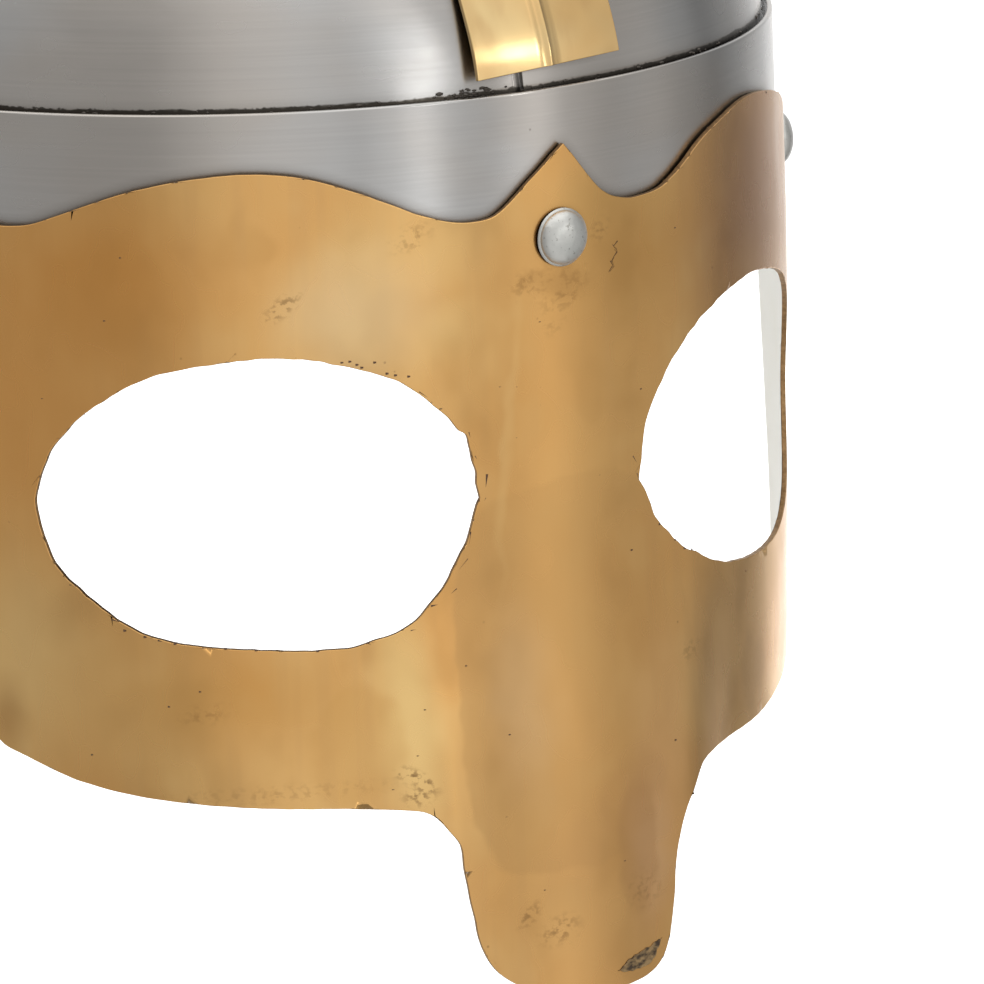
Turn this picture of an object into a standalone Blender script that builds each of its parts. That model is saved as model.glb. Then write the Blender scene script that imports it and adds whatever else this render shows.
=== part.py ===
"""Spangenhelm helmet with a spectacle mask: sheet metal cut flat, then formed and riveted.

Metres, +Z up. The face looks along -Y and the wearer's left is +X. The origin is the
centre of the head opening, in the plane of the brow band's lower edge.
"""
import math
from collections import namedtuple

import bmesh
import bpy
import numpy as np
from mathutils import Matrix, Vector

# Clearances
FIT_GAP = 0.0003              # between two pieces that lie against each other
MASK_STAND_OFF = 0.0004       # between the mask and the band that it is riveted to

# Brow band, an upright oval hoop
BAND_HALF_WIDTH = 0.102       # outer
BAND_HALF_DEPTH = 0.1112      # outer
BAND_HEIGHT = 0.039
BAND_THICKNESS = 0.0012

# Skull, an oval dome of four plates whose skirts stand inside the band
SKULL_THICKNESS = 0.0012
SKULL_RISE = 0.099            # widest level to the top
EQUATOR_BELOW_BAND_TOP = 0.011
SKIRT_ABOVE_RIVET = 0.003     # skirt's lower edge above the mask rivet's tail
SEAM_ACROSS = -0.0048         # front and back seam, off the centre line

# Strips that cover the seams
STRIP_WIDTH = 0.0318
STRIP_THICKNESS = 0.001
STRIP_ABOVE_BAND = 0.0041
FRONT_STRIP_SKEW = 0.0022     # how much higher the front strip's end is on the wearer's left
RIDGE_WIDTH = 0.005
RIDGE_HEIGHT = 0.0012
RIDGE_FADE = 0.008            # length over which the ridge flattens before the crown disc

# Crown disc, a dished round plate
DISC_RADIUS = 0.030
DISC_DISH = 0.0018
DISC_THICKNESS = 0.0011

# Face mask
MASK_THICKNESS = 0.0011
MASK_TAPER = 0.29             # below the band the section narrows by this share a metre
TAPER_EASE = 0.010            # depth over which the taper sets in
MASK_REACH = 0.134            # from the front centre round to its end
POINT_ACROSS = 0.0015         # the point over the nose leans to the wearer's left
CHEEK_DROP = 0.095            # cheek's lower edge below the head opening
NASAL_DROP = 0.136            # nasal's tip below the head opening
NASAL_HALF_WIDTH = 0.0265
NASAL_BOW = 0.0039            # how far the nasal stands forward of the tapered section
BOW_FADE_ACROSS = 0.023
EYE_HALF_WIDTH = 0.0428
EYE_HALF_HEIGHT = 0.0278
EYE_ACROSS = 0.0624           # eye's centre from the front centre, round the mask
EYE_DROP = 0.0348             # eye's centre below the head opening

# Rivets
MASK_RIVET_HEAD_RADIUS = 0.00555
MASK_RIVET_HEAD_HEIGHT = 0.0032
MASK_RIVET_SHANK_RADIUS = 0.0025
FRONT_RIVET_HEIGHT = 0.011
SIDE_RIVET_HEIGHT = 0.009
SIDE_RIVET_FROM_END = 0.017
SMALL_RIVET_HEAD_RADIUS = 0.0034
SMALL_RIVET_HEAD_HEIGHT = 0.0021
SMALL_RIVET_SHANK_RADIUS = 0.0016
SMALL_RIVET_FROM_EDGE = 0.0046
RIVET_TAIL_HEIGHT = 0.0011
TAIL_TO_SHANK = 1.5           # tail radius for each unit of shank radius
CROWN_RIVET_FROM_AXIS = 0.0235
STRIP_RIVET_SHARES = (0.24, 0.62)   # of the strip's length, up from its lower end

# Smoothness of the round shapes
HOOP_SEGMENTS = 56
DOME_RINGS = 10
MASK_COLUMNS = 36
MASK_ROWS = 15
STRIP_ROWS = 12
DISC_SEGMENTS = 24
DISC_RINGS = 3
MASK_RIVET_SEGMENTS = 12
MASK_RIVET_HEAD_STEPS = 3
SMALL_RIVET_SEGMENTS = 8
SMALL_RIVET_HEAD_STEPS = 2
CURVE_STEPS = 2

# Top edge of the mask, from the point over the nose outwards
# across: share of MASK_REACH; up: share of BAND_HEIGHT; corner: 1 where the edge turns sharply
MASK_TOP = [
    dict(across=0.000, up=0.726, corner=1),
    dict(across=0.056, up=0.551, corner=0),
    dict(across=0.101, up=0.426, corner=0),
    dict(across=0.140, up=0.405, corner=0),
    dict(across=0.189, up=0.433, corner=0),
    dict(across=0.236, up=0.497, corner=0),
    dict(across=0.319, up=0.626, corner=0),
    dict(across=0.406, up=0.700, corner=0),
    dict(across=0.457, up=0.713, corner=0),
    dict(across=0.566, up=0.669, corner=0),
    dict(across=0.652, up=0.597, corner=0),
    dict(across=0.769, up=0.459, corner=0),
    dict(across=0.802, up=0.449, corner=0),
    dict(across=0.870, up=0.487, corner=0),
    dict(across=0.978, up=0.577, corner=1),
]

# End and lower edge of the mask, from the end's top down and in towards the nose
# across: share of MASK_REACH; down: share of CHEEK_DROP
MASK_CHEEK = [
    dict(across=1.000, down=0.106),
    dict(across=0.906, down=0.683),
    dict(across=0.894, down=0.795),
    dict(across=0.871, down=0.868),
    dict(across=0.822, down=0.899),
    dict(across=0.749, down=0.935),
    dict(across=0.590, down=0.976),
    dict(across=0.416, down=0.994),
    dict(across=0.331, down=0.999),
]

# Nasal edges, from the cheek down to the tip, for the wearer's right and left
# across: share of NASAL_HALF_WIDTH; down: share of NASAL_DROP
NASAL_RIGHT = [
    dict(across=1.283, down=0.702),
    dict(across=1.185, down=0.710),
    dict(across=1.083, down=0.733),
    dict(across=1.008, down=0.754),
    dict(across=0.966, down=0.807),
    dict(across=0.902, down=0.879),
    dict(across=0.842, down=0.915),
    dict(across=0.691, down=0.954),
    dict(across=0.377, down=0.985),
]
NASAL_LEFT = [
    dict(across=1.464, down=0.706),
    dict(across=1.283, down=0.713),
    dict(across=1.215, down=0.727),
    dict(across=1.083, down=0.756),
    dict(across=1.008, down=0.788),
    dict(across=0.909, down=0.836),
    dict(across=0.887, down=0.871),
    dict(across=0.872, down=0.905),
    dict(across=0.826, down=0.938),
    dict(across=0.766, down=0.971),
    dict(across=0.543, down=0.996),
    dict(across=0.050, down=1.000),
]

# Eye openings, shares of the eye's half width towards the nose and half height upwards
EYE_RIGHT = [
    dict(nose=0.998, up=-0.10), dict(nose=0.864, up=-0.568), dict(nose=0.643, up=-0.885),
    dict(nose=0.362, up=-0.996), dict(nose=-0.002, up=-0.982), dict(nose=-0.355, up=-0.941),
    dict(nose=-0.621, up=-0.799), dict(nose=-0.876, up=-0.504), dict(nose=-1.000, up=-0.032),
    dict(nose=-0.846, up=0.471), dict(nose=-0.564, up=0.791), dict(nose=-0.292, up=0.932),
    dict(nose=0.054, up=1.000), dict(nose=0.404, up=0.935), dict(nose=0.682, up=0.773),
    dict(nose=0.939, up=0.406),
]
EYE_LEFT = [
    dict(nose=1.028, up=-0.088), dict(nose=0.897, up=-0.475), dict(nose=0.668, up=-0.727),
    dict(nose=0.273, up=-0.939), dict(nose=-0.060, up=-0.975), dict(nose=-0.355, up=-0.941),
    dict(nose=-0.621, up=-0.799), dict(nose=-0.876, up=-0.504), dict(nose=-1.000, up=-0.032),
    dict(nose=-0.846, up=0.471), dict(nose=-0.564, up=0.791), dict(nose=-0.292, up=0.945),
    dict(nose=0.021, up=1.018), dict(nose=0.463, up=0.921), dict(nose=0.717, up=0.712),
    dict(nose=0.923, up=0.410),
]

# Levels and radii that follow from the sizes above
SKULL_HALF_WIDTH = BAND_HALF_WIDTH - BAND_THICKNESS - FIT_GAP
SKULL_HALF_DEPTH = BAND_HALF_DEPTH - BAND_THICKNESS - FIT_GAP
EQUATOR = BAND_HEIGHT - EQUATOR_BELOW_BAND_TOP
MASK_TAIL_RADIUS = MASK_RIVET_SHANK_RADIUS * TAIL_TO_SHANK
SKIRT_BOTTOM = FRONT_RIVET_HEIGHT + MASK_TAIL_RADIUS + SKIRT_ABOVE_RIVET
STRIP_HALF = STRIP_WIDTH / 2
STRIP_END = STRIP_HALF + FIT_GAP
SIDE_RIVET_ACROSS = MASK_REACH - SIDE_RIVET_FROM_END
BOW_START = -(EYE_DROP + EYE_HALF_HEIGHT / 2)
BOW_FULL = -(CHEEK_DROP + NASAL_DROP) / 2 + EYE_HALF_HEIGHT / 2

RivetKind = namedtuple("RivetKind", "head_radius head_height shank_radius segments head_steps")
MASK_RIVET = RivetKind(MASK_RIVET_HEAD_RADIUS, MASK_RIVET_HEAD_HEIGHT, MASK_RIVET_SHANK_RADIUS,
                       MASK_RIVET_SEGMENTS, MASK_RIVET_HEAD_STEPS)
SMALL_RIVET = RivetKind(SMALL_RIVET_HEAD_RADIUS, SMALL_RIVET_HEAD_HEIGHT,
                        SMALL_RIVET_SHANK_RADIUS, SMALL_RIVET_SEGMENTS, SMALL_RIVET_HEAD_STEPS)

FINISHES = {
    "brushed_steel": dict(colour=(0.42, 0.42, 0.43), roughness=0.34),
    "worn_brass": dict(colour=(0.56, 0.33, 0.12), roughness=0.36),
    "rivet_aluminium": dict(colour=(0.58, 0.59, 0.58), roughness=0.40),
}


def new_collection(name):
    """Collection linked to the scene."""
    collection = bpy.data.collections.new(name)
    bpy.context.scene.collection.children.link(collection)
    return collection


def new_object(name, mesh, collection):
    """Object for a mesh, in one collection."""
    body = bpy.data.objects.new(name, mesh)
    collection.objects.link(body)
    return body


def finish(body, kind, smooth=math.radians(30)):
    """Give a piece its own material and smooth its round faces."""
    values = FINISHES[kind]
    material = bpy.data.materials.new(f"{body.name}_{kind}")
    material.use_nodes = True
    shader = material.node_tree.nodes["Principled BSDF"]
    shader.inputs["Base Color"].default_value = (*values["colour"], 1.0)
    shader.inputs["Roughness"].default_value = values["roughness"]
    shader.inputs["Metallic"].default_value = 1.0
    body.data.materials.clear()
    body.data.materials.append(material)
    body.data.shade_smooth()
    body.data.set_sharp_from_angle(angle=smooth)


def mesh_from(bm, name):
    """Mesh datablock from a bmesh, which is freed."""
    mesh = bpy.data.meshes.new(name)
    bm.to_mesh(mesh)
    bm.free()
    return mesh


def evaluated_mesh(body, name):
    """Mesh of an object with its modifiers applied; the object is removed."""
    depsgraph = bpy.context.evaluated_depsgraph_get()
    mesh = bpy.data.meshes.new_from_object(body.evaluated_get(depsgraph))
    mesh.name = name
    bpy.data.objects.remove(body)
    return mesh


def smooth_step(share):
    """Ease from 0 to 1 as the share goes from 0 to 1."""
    share = min(max(share, 0.0), 1.0)
    return share * share * (3 - 2 * share)


def flat_sheet(width, length, thickness, cuts_across, cuts_along):
    """Slab from x -width/2 to width/2, y 0 to length, z 0 to thickness, scored for bending."""
    bm = bmesh.new()
    bmesh.ops.create_cube(bm, size=1.0)
    bmesh.ops.translate(bm, verts=bm.verts, vec=(0, 0.5, 0.5))
    bmesh.ops.scale(bm, verts=bm.verts, vec=(width, length, thickness))
    for cuts, normal in ((cuts_across, Vector((1, 0, 0))), (cuts_along, Vector((0, 1, 0)))):
        for place in cuts:
            geometry = bm.verts[:] + bm.edges[:] + bm.faces[:]
            bmesh.ops.bisect_plane(bm, geom=geometry, plane_co=normal * place, plane_no=normal)
    return bm


def outline_prism(name, loops, depth, collection):
    """Solid prism through closed loops of points; inner loops are holes."""
    curve = bpy.data.curves.new(name, type="CURVE")
    curve.dimensions = "2D"
    curve.fill_mode = "BOTH"
    curve.extrude = depth
    curve.resolution_u = CURVE_STEPS
    curve.render_resolution_u = CURVE_STEPS
    for loop in loops:
        spline = curve.splines.new("BEZIER")
        spline.bezier_points.add(len(loop) - 1)
        spline.use_cyclic_u = True
        for point, (across, up, corner) in zip(spline.bezier_points, loop):
            point.co = (across, up, 0)
            handle = "VECTOR" if corner else "AUTO"
            point.handle_left_type = handle
            point.handle_right_type = handle
    shape = new_object(name, curve, collection)
    mesh = evaluated_mesh(shape, name)
    bm = bmesh.new()
    bm.from_mesh(mesh)
    bmesh.ops.remove_doubles(bm, verts=bm.verts, dist=0.00002)
    bmesh.ops.recalc_face_normals(bm, faces=bm.faces)
    bm.to_mesh(mesh)
    bm.free()
    return hide_cutter(new_object(f"{name}_cutter", mesh, collection))


def hide_cutter(cutter):
    """Mark an object as a cutter."""
    cutter.hide_render = True
    cutter.display_type = "WIRE"
    return cutter


def boolean(body, operation, other):
    """Add an exact Boolean to a body."""
    modifier = body.modifiers.new(f"{operation.lower()}_{other.name}", "BOOLEAN")
    modifier.operation = operation
    modifier.object = other
    modifier.solver = "EXACT"


def arc_length_table(half_width, half_depth):
    """Arc lengths from the front centre of an oval, and the angles that they belong to."""
    angles = np.linspace(-math.pi, math.pi, 2881)
    x, y = half_width * np.sin(angles), -half_depth * np.cos(angles)
    steps = np.hypot(np.diff(x), np.diff(y))
    lengths = np.concatenate([[0.0], np.cumsum(steps)])
    return lengths - np.interp(0.0, angles, lengths), angles


MASK_FACE = MASK_STAND_OFF + MASK_THICKNESS
MASK_LENGTHS, MASK_ANGLES = arc_length_table(
    BAND_HALF_WIDTH + MASK_FACE, BAND_HALF_DEPTH + MASK_FACE)


def mask_point(across, height, depth):
    """Where a point of the flat mask lies once the mask is bent round the band."""
    angle = float(np.interp(across, MASK_LENGTHS, MASK_ANGLES))
    below = max(0.0, -height)
    taper = 1 - MASK_TAPER * below ** 2 / (below + TAPER_EASE)
    out = MASK_STAND_OFF + depth
    bow = NASAL_BOW * smooth_step((BOW_START - height) / (BOW_START - BOW_FULL))
    bow *= 1 - smooth_step((abs(across) - NASAL_HALF_WIDTH) / BOW_FADE_ACROSS)
    x = taper * (BAND_HALF_WIDTH + out) * math.sin(angle)
    y = -taper * (BAND_HALF_DEPTH + out) * math.cos(angle)
    return Vector((x, y - bow, height))


def mask_axis(across, height):
    """Seat of a rivet on the mask's outer face, and its outward direction."""
    face = mask_point(across, height, MASK_THICKNESS)
    direction = face - mask_point(across, height, 0)
    return face, direction.normalized()


def mask_outline():
    """Closed loops of the flat mask: its edge and the two eye openings."""
    top = [(MASK_REACH * row["across"], BAND_HEIGHT * row["up"], row["corner"])
           for row in MASK_TOP]
    cheek = [(MASK_REACH * row["across"], -CHEEK_DROP * row["down"], 0) for row in MASK_CHEEK]
    left = [(NASAL_HALF_WIDTH * row["across"], -NASAL_DROP * row["down"], 0)
            for row in NASAL_LEFT]
    right = [(-NASAL_HALF_WIDTH * row["across"], -NASAL_DROP * row["down"], 0)
             for row in NASAL_RIGHT]
    mirrored = [(-across, up, corner) for across, up, corner in (top[1:] + cheek)[::-1]]
    top[0] = (POINT_ACROSS, *top[0][1:])
    edge = top + cheek + left + right[::-1] + mirrored
    eyes = []
    for side, table in ((-1, EYE_RIGHT), (1, EYE_LEFT)):
        eyes.append([(side * (EYE_ACROSS - EYE_HALF_WIDTH * row["nose"]),
                      -EYE_DROP + EYE_HALF_HEIGHT * row["up"], 0) for row in table])
    return [edge] + eyes


def make_mask(parts, cutters):
    """Spectacle mask: cut from a flat sheet, then bent."""
    width = 2 * MASK_REACH + 2 * FIT_GAP
    length = BAND_HEIGHT + NASAL_DROP
    across = [width * (i / MASK_COLUMNS - 0.5) for i in range(1, MASK_COLUMNS)]
    along = [length * i / MASK_ROWS for i in range(1, MASK_ROWS)]
    bm = flat_sheet(width, length, MASK_THICKNESS, across, along)
    drop = Vector((0, FIT_GAP + NASAL_DROP, 0))
    bmesh.ops.translate(bm, verts=bm.verts, vec=-drop)
    sheet = new_object("mask_sheet", mesh_from(bm, "mask_sheet"), cutters)
    prism = outline_prism("mask_outline", mask_outline(), 3 * MASK_THICKNESS, cutters)
    boolean(sheet, "INTERSECT", prism)
    mesh = evaluated_mesh(sheet, "face_mask")
    for vertex in mesh.vertices:
        vertex.co = mask_point(*vertex.co)
    mask = new_object("face_mask", mesh, parts)
    finish(mask, "worn_brass")
    return mask


def make_band(parts):
    """Brow band: an oval hoop that stands on its lower edge."""
    bm = bmesh.new()
    bmesh.ops.create_circle(bm, segments=HOOP_SEGMENTS, radius=1.0)
    bmesh.ops.scale(bm, verts=bm.verts, vec=(BAND_HALF_WIDTH, BAND_HALF_DEPTH, 1))
    wall = bmesh.ops.extrude_edge_only(bm, edges=bm.edges)
    rim = [item for item in wall["geom"] if isinstance(item, bmesh.types.BMVert)]
    bmesh.ops.translate(bm, verts=rim, vec=(0, 0, BAND_HEIGHT))
    bmesh.ops.recalc_face_normals(bm, faces=bm.faces)
    face_outwards(bm)
    band = new_object("brow_band", mesh_from(bm, "brow_band"), parts)
    add_wall(band, BAND_THICKNESS)
    finish(band, "brushed_steel")
    return band


def face_outwards(bm):
    """Turn an open shell's faces away from the helmet's axis."""
    first = max(bm.faces, key=lambda face: face.calc_center_median().xy.length)
    if first.normal.dot(first.calc_center_median()) < 0:
        bmesh.ops.reverse_faces(bm, faces=bm.faces)


def add_wall(body, thickness):
    """Give an open shell its thickness, inwards from the modelled face."""
    wall = body.modifiers.new("wall", "SOLIDIFY")
    wall.thickness = thickness
    wall.offset = -1
    wall.use_even_offset = True


def make_skull_plates(parts):
    """Four plates of the oval dome, split at the seams under the strips."""
    plates = {}
    seam = Vector((SEAM_ACROSS, 0, 0))
    for name, side_x, side_y in (("front_left", 1, -1), ("front_right", -1, -1),
                                 ("back_left", 1, 1), ("back_right", -1, 1)):
        bm = bmesh.new()
        bmesh.ops.create_uvsphere(bm, u_segments=HOOP_SEGMENTS, v_segments=2 * DOME_RINGS,
                                  radius=1.0)
        bmesh.ops.scale(bm, verts=bm.verts, vec=(SKULL_HALF_WIDTH, SKULL_HALF_DEPTH, SKULL_RISE))
        bmesh.ops.translate(bm, verts=bm.verts, vec=(0, 0, EQUATOR))
        keep_side(bm, Vector((0, 0, EQUATOR)), Vector((0, 0, 1)))
        rim = [edge for edge in bm.edges if edge.is_boundary]
        skirt = bmesh.ops.extrude_edge_only(bm, edges=rim)
        lower = [item for item in skirt["geom"] if isinstance(item, bmesh.types.BMVert)]
        bmesh.ops.translate(bm, verts=lower, vec=(0, 0, SKIRT_BOTTOM - EQUATOR))
        for normal in (Vector((side_x, 0, 0)), Vector((0, side_y, 0))):
            keep_side(bm, seam + normal * FIT_GAP / 2, normal)
        bmesh.ops.recalc_face_normals(bm, faces=bm.faces)
        face_outwards(bm)
        title = f"skull_plate_{name}"
        plate = new_object(title, mesh_from(bm, title), parts)
        add_wall(plate, SKULL_THICKNESS)
        finish(plate, "brushed_steel")
        plates[name] = plate
    return plates


def keep_side(bm, point, normal):
    """Cut a shell with a plane and keep the side that the normal points to."""
    geometry = bm.verts[:] + bm.edges[:] + bm.faces[:]
    bmesh.ops.bisect_plane(bm, geom=geometry, plane_co=point, plane_no=normal,
                           clear_inner=True, dist=1e-6)


class Meridian:
    """Line up the skull's outer face, in the upright plane of one strip."""

    def __init__(self, outward, half_span):
        self.outward = Vector(outward)
        self.half_span = half_span
        start = math.asin((BAND_HEIGHT + STRIP_ABOVE_BAND - EQUATOR) / SKULL_RISE)
        self.angles = np.linspace(0.0, math.acos(STRIP_END / half_span), 721)
        places = np.array([self.place(angle)[:] for angle in self.angles])
        steps = np.linalg.norm(np.diff(places, axis=0), axis=1)
        lengths = np.concatenate([[0.0], np.cumsum(steps)])
        self.lengths = lengths - np.interp(start, self.angles, lengths)
        self.length = float(self.lengths[-1])

    def place(self, angle):
        """Point on the skull's outer face."""
        rise = Vector((0, 0, EQUATOR + SKULL_RISE * math.sin(angle)))
        return self.outward * (self.half_span * math.cos(angle)) + rise

    def frame(self, distance):
        """Point, direction across, and outward direction at a distance up the strip."""
        angle = float(np.interp(distance, self.lengths, self.angles))
        along = (self.outward * (-self.half_span * math.sin(angle))
                 + Vector((0, 0, SKULL_RISE * math.cos(angle)))).normalized()
        across = Vector((0, 0, 1)).cross(self.outward)
        normal = across.cross(along)
        return self.place(angle), across, normal

    def distance_at(self, from_axis):
        """Distance up the strip of the point that lies this far from the axis."""
        angle = math.acos(from_axis / self.half_span)
        return float(np.interp(angle, self.angles, self.lengths))

    def strip_point(self, across, distance, depth):
        """Where a point of the flat strip lies once the strip is bent over the skull."""
        point, sideways, normal = self.frame(distance)
        ridge = RIDGE_HEIGHT * max(0.0, 1 - abs(across) / (RIDGE_WIDTH / 2))
        flat_from = self.distance_at(DISC_RADIUS + FIT_GAP)
        ridge *= smooth_step((flat_from - distance) / RIDGE_FADE)
        return point + sideways * across + normal * (FIT_GAP + depth + ridge)


def make_strip(name, meridian, skew, parts):
    """Strip with a ridge along its middle, bent over the skull; its lower end may be askew."""
    inner = [-RIDGE_WIDTH / 2, 0.0, RIDGE_WIDTH / 2]
    along = [meridian.length * i / STRIP_ROWS for i in range(1, STRIP_ROWS)]
    fade = meridian.distance_at(DISC_RADIUS + FIT_GAP)
    along += [fade - RIDGE_FADE, fade]
    bm = flat_sheet(STRIP_WIDTH, meridian.length, STRIP_THICKNESS, inner, sorted(along))
    for vertex in bm.verts:
        across, distance, depth = vertex.co
        if distance < along[0] / 2:
            distance += skew * across / STRIP_WIDTH
        vertex.co = meridian.strip_point(across, distance, depth)
    strip = new_object(name, mesh_from(bm, name), parts)
    finish(strip, "worn_brass")
    return strip


def disc_height(radius):
    """Height of the crown disc's lower face at a distance from the axis."""
    corner = math.hypot(STRIP_HALF, STRIP_END)
    narrow = min(SKULL_HALF_WIDTH, SKULL_HALF_DEPTH)
    wide = max(SKULL_HALF_WIDTH, SKULL_HALF_DEPTH)
    skull = EQUATOR + SKULL_RISE * math.sqrt(1 - (STRIP_END / wide) ** 2)
    tilt = SKULL_RISE * STRIP_END / narrow ** 2
    strip_top = skull + (FIT_GAP + STRIP_THICKNESS) * math.sqrt(1 + tilt ** 2)
    centre = strip_top + FIT_GAP + DISC_DISH * (corner / DISC_RADIUS) ** 2
    return centre - DISC_DISH * (radius / DISC_RADIUS) ** 2


def turned(name, profile, segments, collection):
    """Solid turned about +Z from a profile that runs down its outer side."""
    bm = bmesh.new()
    points = [bm.verts.new((radius, 0, height)) for radius, height in profile]
    for upper, lower in zip(points, points[1:]):
        bm.edges.new((upper, lower))
    body = new_object(name, mesh_from(bm, name), collection)
    screw = body.modifiers.new("turn", "SCREW")
    screw.steps = segments
    screw.render_steps = segments
    screw.use_merge_vertices = True
    screw.merge_threshold = 0.00005
    return body


def make_disc(parts):
    """Dished disc that caps the four strips."""
    radii = [DISC_RADIUS * i / DISC_RINGS for i in range(DISC_RINGS + 1)]
    upper = [(radius, disc_height(radius) + DISC_THICKNESS) for radius in radii]
    lower = [(radius, disc_height(radius)) for radius in reversed(radii)]
    disc = turned("crown_disc", upper + lower, DISC_SEGMENTS, parts)
    finish(disc, "worn_brass")
    return disc


def rivet_profile(kind, grip):
    """Domed head above 0, shank through the sheets, and a flat tail inside."""
    shank = kind.shank_radius
    tail = shank * TAIL_TO_SHANK
    head = [(0.0, kind.head_height)]
    for step in range(1, kind.head_steps + 1):
        angle = math.pi / 2 * (1 - step / kind.head_steps)
        head.append((kind.head_radius * math.cos(angle), kind.head_height * math.sin(angle)))
    return head + [(shank, 0), (shank, -grip), (tail, -grip),
                   (tail, -grip - RIVET_TAIL_HEIGHT), (0.0, -grip - RIVET_TAIL_HEIGHT)]


def add_rivet(name, kind, seat, direction, grip, sheets, parts, cutters):
    """Rivet with its head against the seat, and a clear hole for it through the sheets."""
    turn = direction.to_track_quat("Z", "Y")
    rivet = turned(name, rivet_profile(kind, grip), kind.segments, parts)
    rivet.location = seat
    rivet.rotation_mode = "QUATERNION"
    rivet.rotation_quaternion = turn
    finish(rivet, "rivet_aluminium")
    bm = bmesh.new()
    hole = kind.shank_radius + FIT_GAP
    bmesh.ops.create_cone(bm, cap_ends=True, segments=kind.segments,
                          radius1=hole, radius2=hole, depth=4 * grip,
                          matrix=Matrix.LocRotScale(seat - direction * grip / 2, turn, None))
    cutter = hide_cutter(new_object(f"{name}_hole", mesh_from(bm, f"{name}_hole"), cutters))
    for sheet in sheets:
        boolean(sheet, "DIFFERENCE", cutter)


def add_mask_rivets(mask, band, parts, cutters):
    """Three rivets that hold the mask to the band."""
    places = (("front", 0.0, FRONT_RIVET_HEIGHT),
              ("left", SIDE_RIVET_ACROSS, SIDE_RIVET_HEIGHT),
              ("right", -SIDE_RIVET_ACROSS, SIDE_RIVET_HEIGHT))
    curve = MASK_TAIL_RADIUS ** 2 / (2 * min(BAND_HALF_WIDTH, BAND_HALF_DEPTH))
    for name, across, height in places:
        face, direction = mask_axis(across, height)
        grip = 3 * FIT_GAP + MASK_FACE + BAND_THICKNESS + curve
        add_rivet(f"rivet_mask_{name}", MASK_RIVET, face + direction * FIT_GAP, direction,
                  grip, [mask, band], parts, cutters)


def facet_sag():
    """How far the flat faces of the skull lie inside its true dome."""
    ring = SKULL_RISE * (1 - math.cos(math.pi / 4 / DOME_RINGS))
    hoop = SKULL_HALF_DEPTH * (1 - math.cos(math.pi / HOOP_SEGMENTS))
    return ring + hoop


def add_strip_rivets(side, strip, meridian, plates, parts, cutters):
    """Pairs of rivets beside the ridge, through the strip and the skull plates."""
    offset = STRIP_HALF - SMALL_RIVET_FROM_EDGE
    tail_radius = SMALL_RIVET_SHANK_RADIUS * TAIL_TO_SHANK
    fall = offset * (offset / 2 + tail_radius) / min(SKULL_HALF_WIDTH, SKULL_RISE)
    grip = 3 * FIT_GAP + STRIP_THICKNESS + SKULL_THICKNESS + fall + facet_sag()
    for row, share in enumerate(STRIP_RIVET_SHARES):
        distance = share * meridian.length
        for label, across in (("a", -offset), ("b", offset)):
            face = meridian.strip_point(across, distance, STRIP_THICKNESS)
            normal = meridian.frame(distance)[2]
            add_rivet(f"rivet_strip_{side}_{row + 1}{label}", SMALL_RIVET,
                      face + normal * FIT_GAP, normal, grip, [strip, *plates], parts, cutters)


def add_crown_rivet(side, strip, disc, meridian, plates, parts, cutters):
    """Upright rivet through the disc, the strip's end and the skull."""
    place = meridian.outward * CROWN_RIVET_FROM_AXIS
    inner_edge = CROWN_RIVET_FROM_AXIS - SMALL_RIVET_HEAD_RADIUS
    top = disc_height(inner_edge) + DISC_THICKNESS + FIT_GAP
    reach = CROWN_RIVET_FROM_AXIS + SMALL_RIVET_SHANK_RADIUS * TAIL_TO_SHANK
    inner_span = meridian.half_span - SKULL_THICKNESS
    rise = SKULL_RISE - SKULL_THICKNESS
    under = EQUATOR + rise * math.sqrt(1 - (reach / inner_span) ** 2) - FIT_GAP - facet_sag()
    add_rivet(f"rivet_crown_{side}", SMALL_RIVET, place + Vector((0, 0, top)),
              Vector((0, 0, 1)), top - under, [disc, strip, *plates], parts, cutters)


def main():
    """Build the helmet."""
    for body in list(bpy.data.objects):
        bpy.data.objects.remove(body)
    parts = new_collection("spangenhelm_helmet")
    cutters = new_collection("cutters")
    band = make_band(parts)
    mask = make_mask(parts, cutters)
    add_mask_rivets(mask, band, parts, cutters)
    plates = make_skull_plates(parts)
    disc = make_disc(parts)
    strips = (("front", (0, -1, 0), SKULL_HALF_DEPTH, ("front_left", "front_right")),
              ("back", (0, 1, 0), SKULL_HALF_DEPTH, ("back_left", "back_right")),
              ("left", (1, 0, 0), SKULL_HALF_WIDTH, ("front_left", "back_left")),
              ("right", (-1, 0, 0), SKULL_HALF_WIDTH, ("front_right", "back_right")))
    for side, outward, half_span, neighbours in strips:
        meridian = Meridian(outward, half_span)
        skew = FRONT_STRIP_SKEW if side == "front" else 0.0
        strip = make_strip(f"strip_{side}", meridian, skew, parts)
        under = [plates[name] for name in neighbours]
        add_strip_rivets(side, strip, meridian, under, parts, cutters)
        add_crown_rivet(side, strip, disc, meridian, under, parts, cutters)


main()
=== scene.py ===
"""Spangenhelm helmet: its sheets and rivets at full detail, their finishes, and the studio.

Metres, +Z up. The face looks along -Y and the wearer's left is +X. Each piece stands for
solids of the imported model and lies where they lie.
"""
import math
import random
from collections import namedtuple
from functools import partial

import bmesh
import bpy
import numpy as np
from bpy.props import FloatProperty, FloatVectorProperty, IntProperty, PointerProperty
from mathutils import Matrix, Quaternion, Vector, noise


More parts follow.
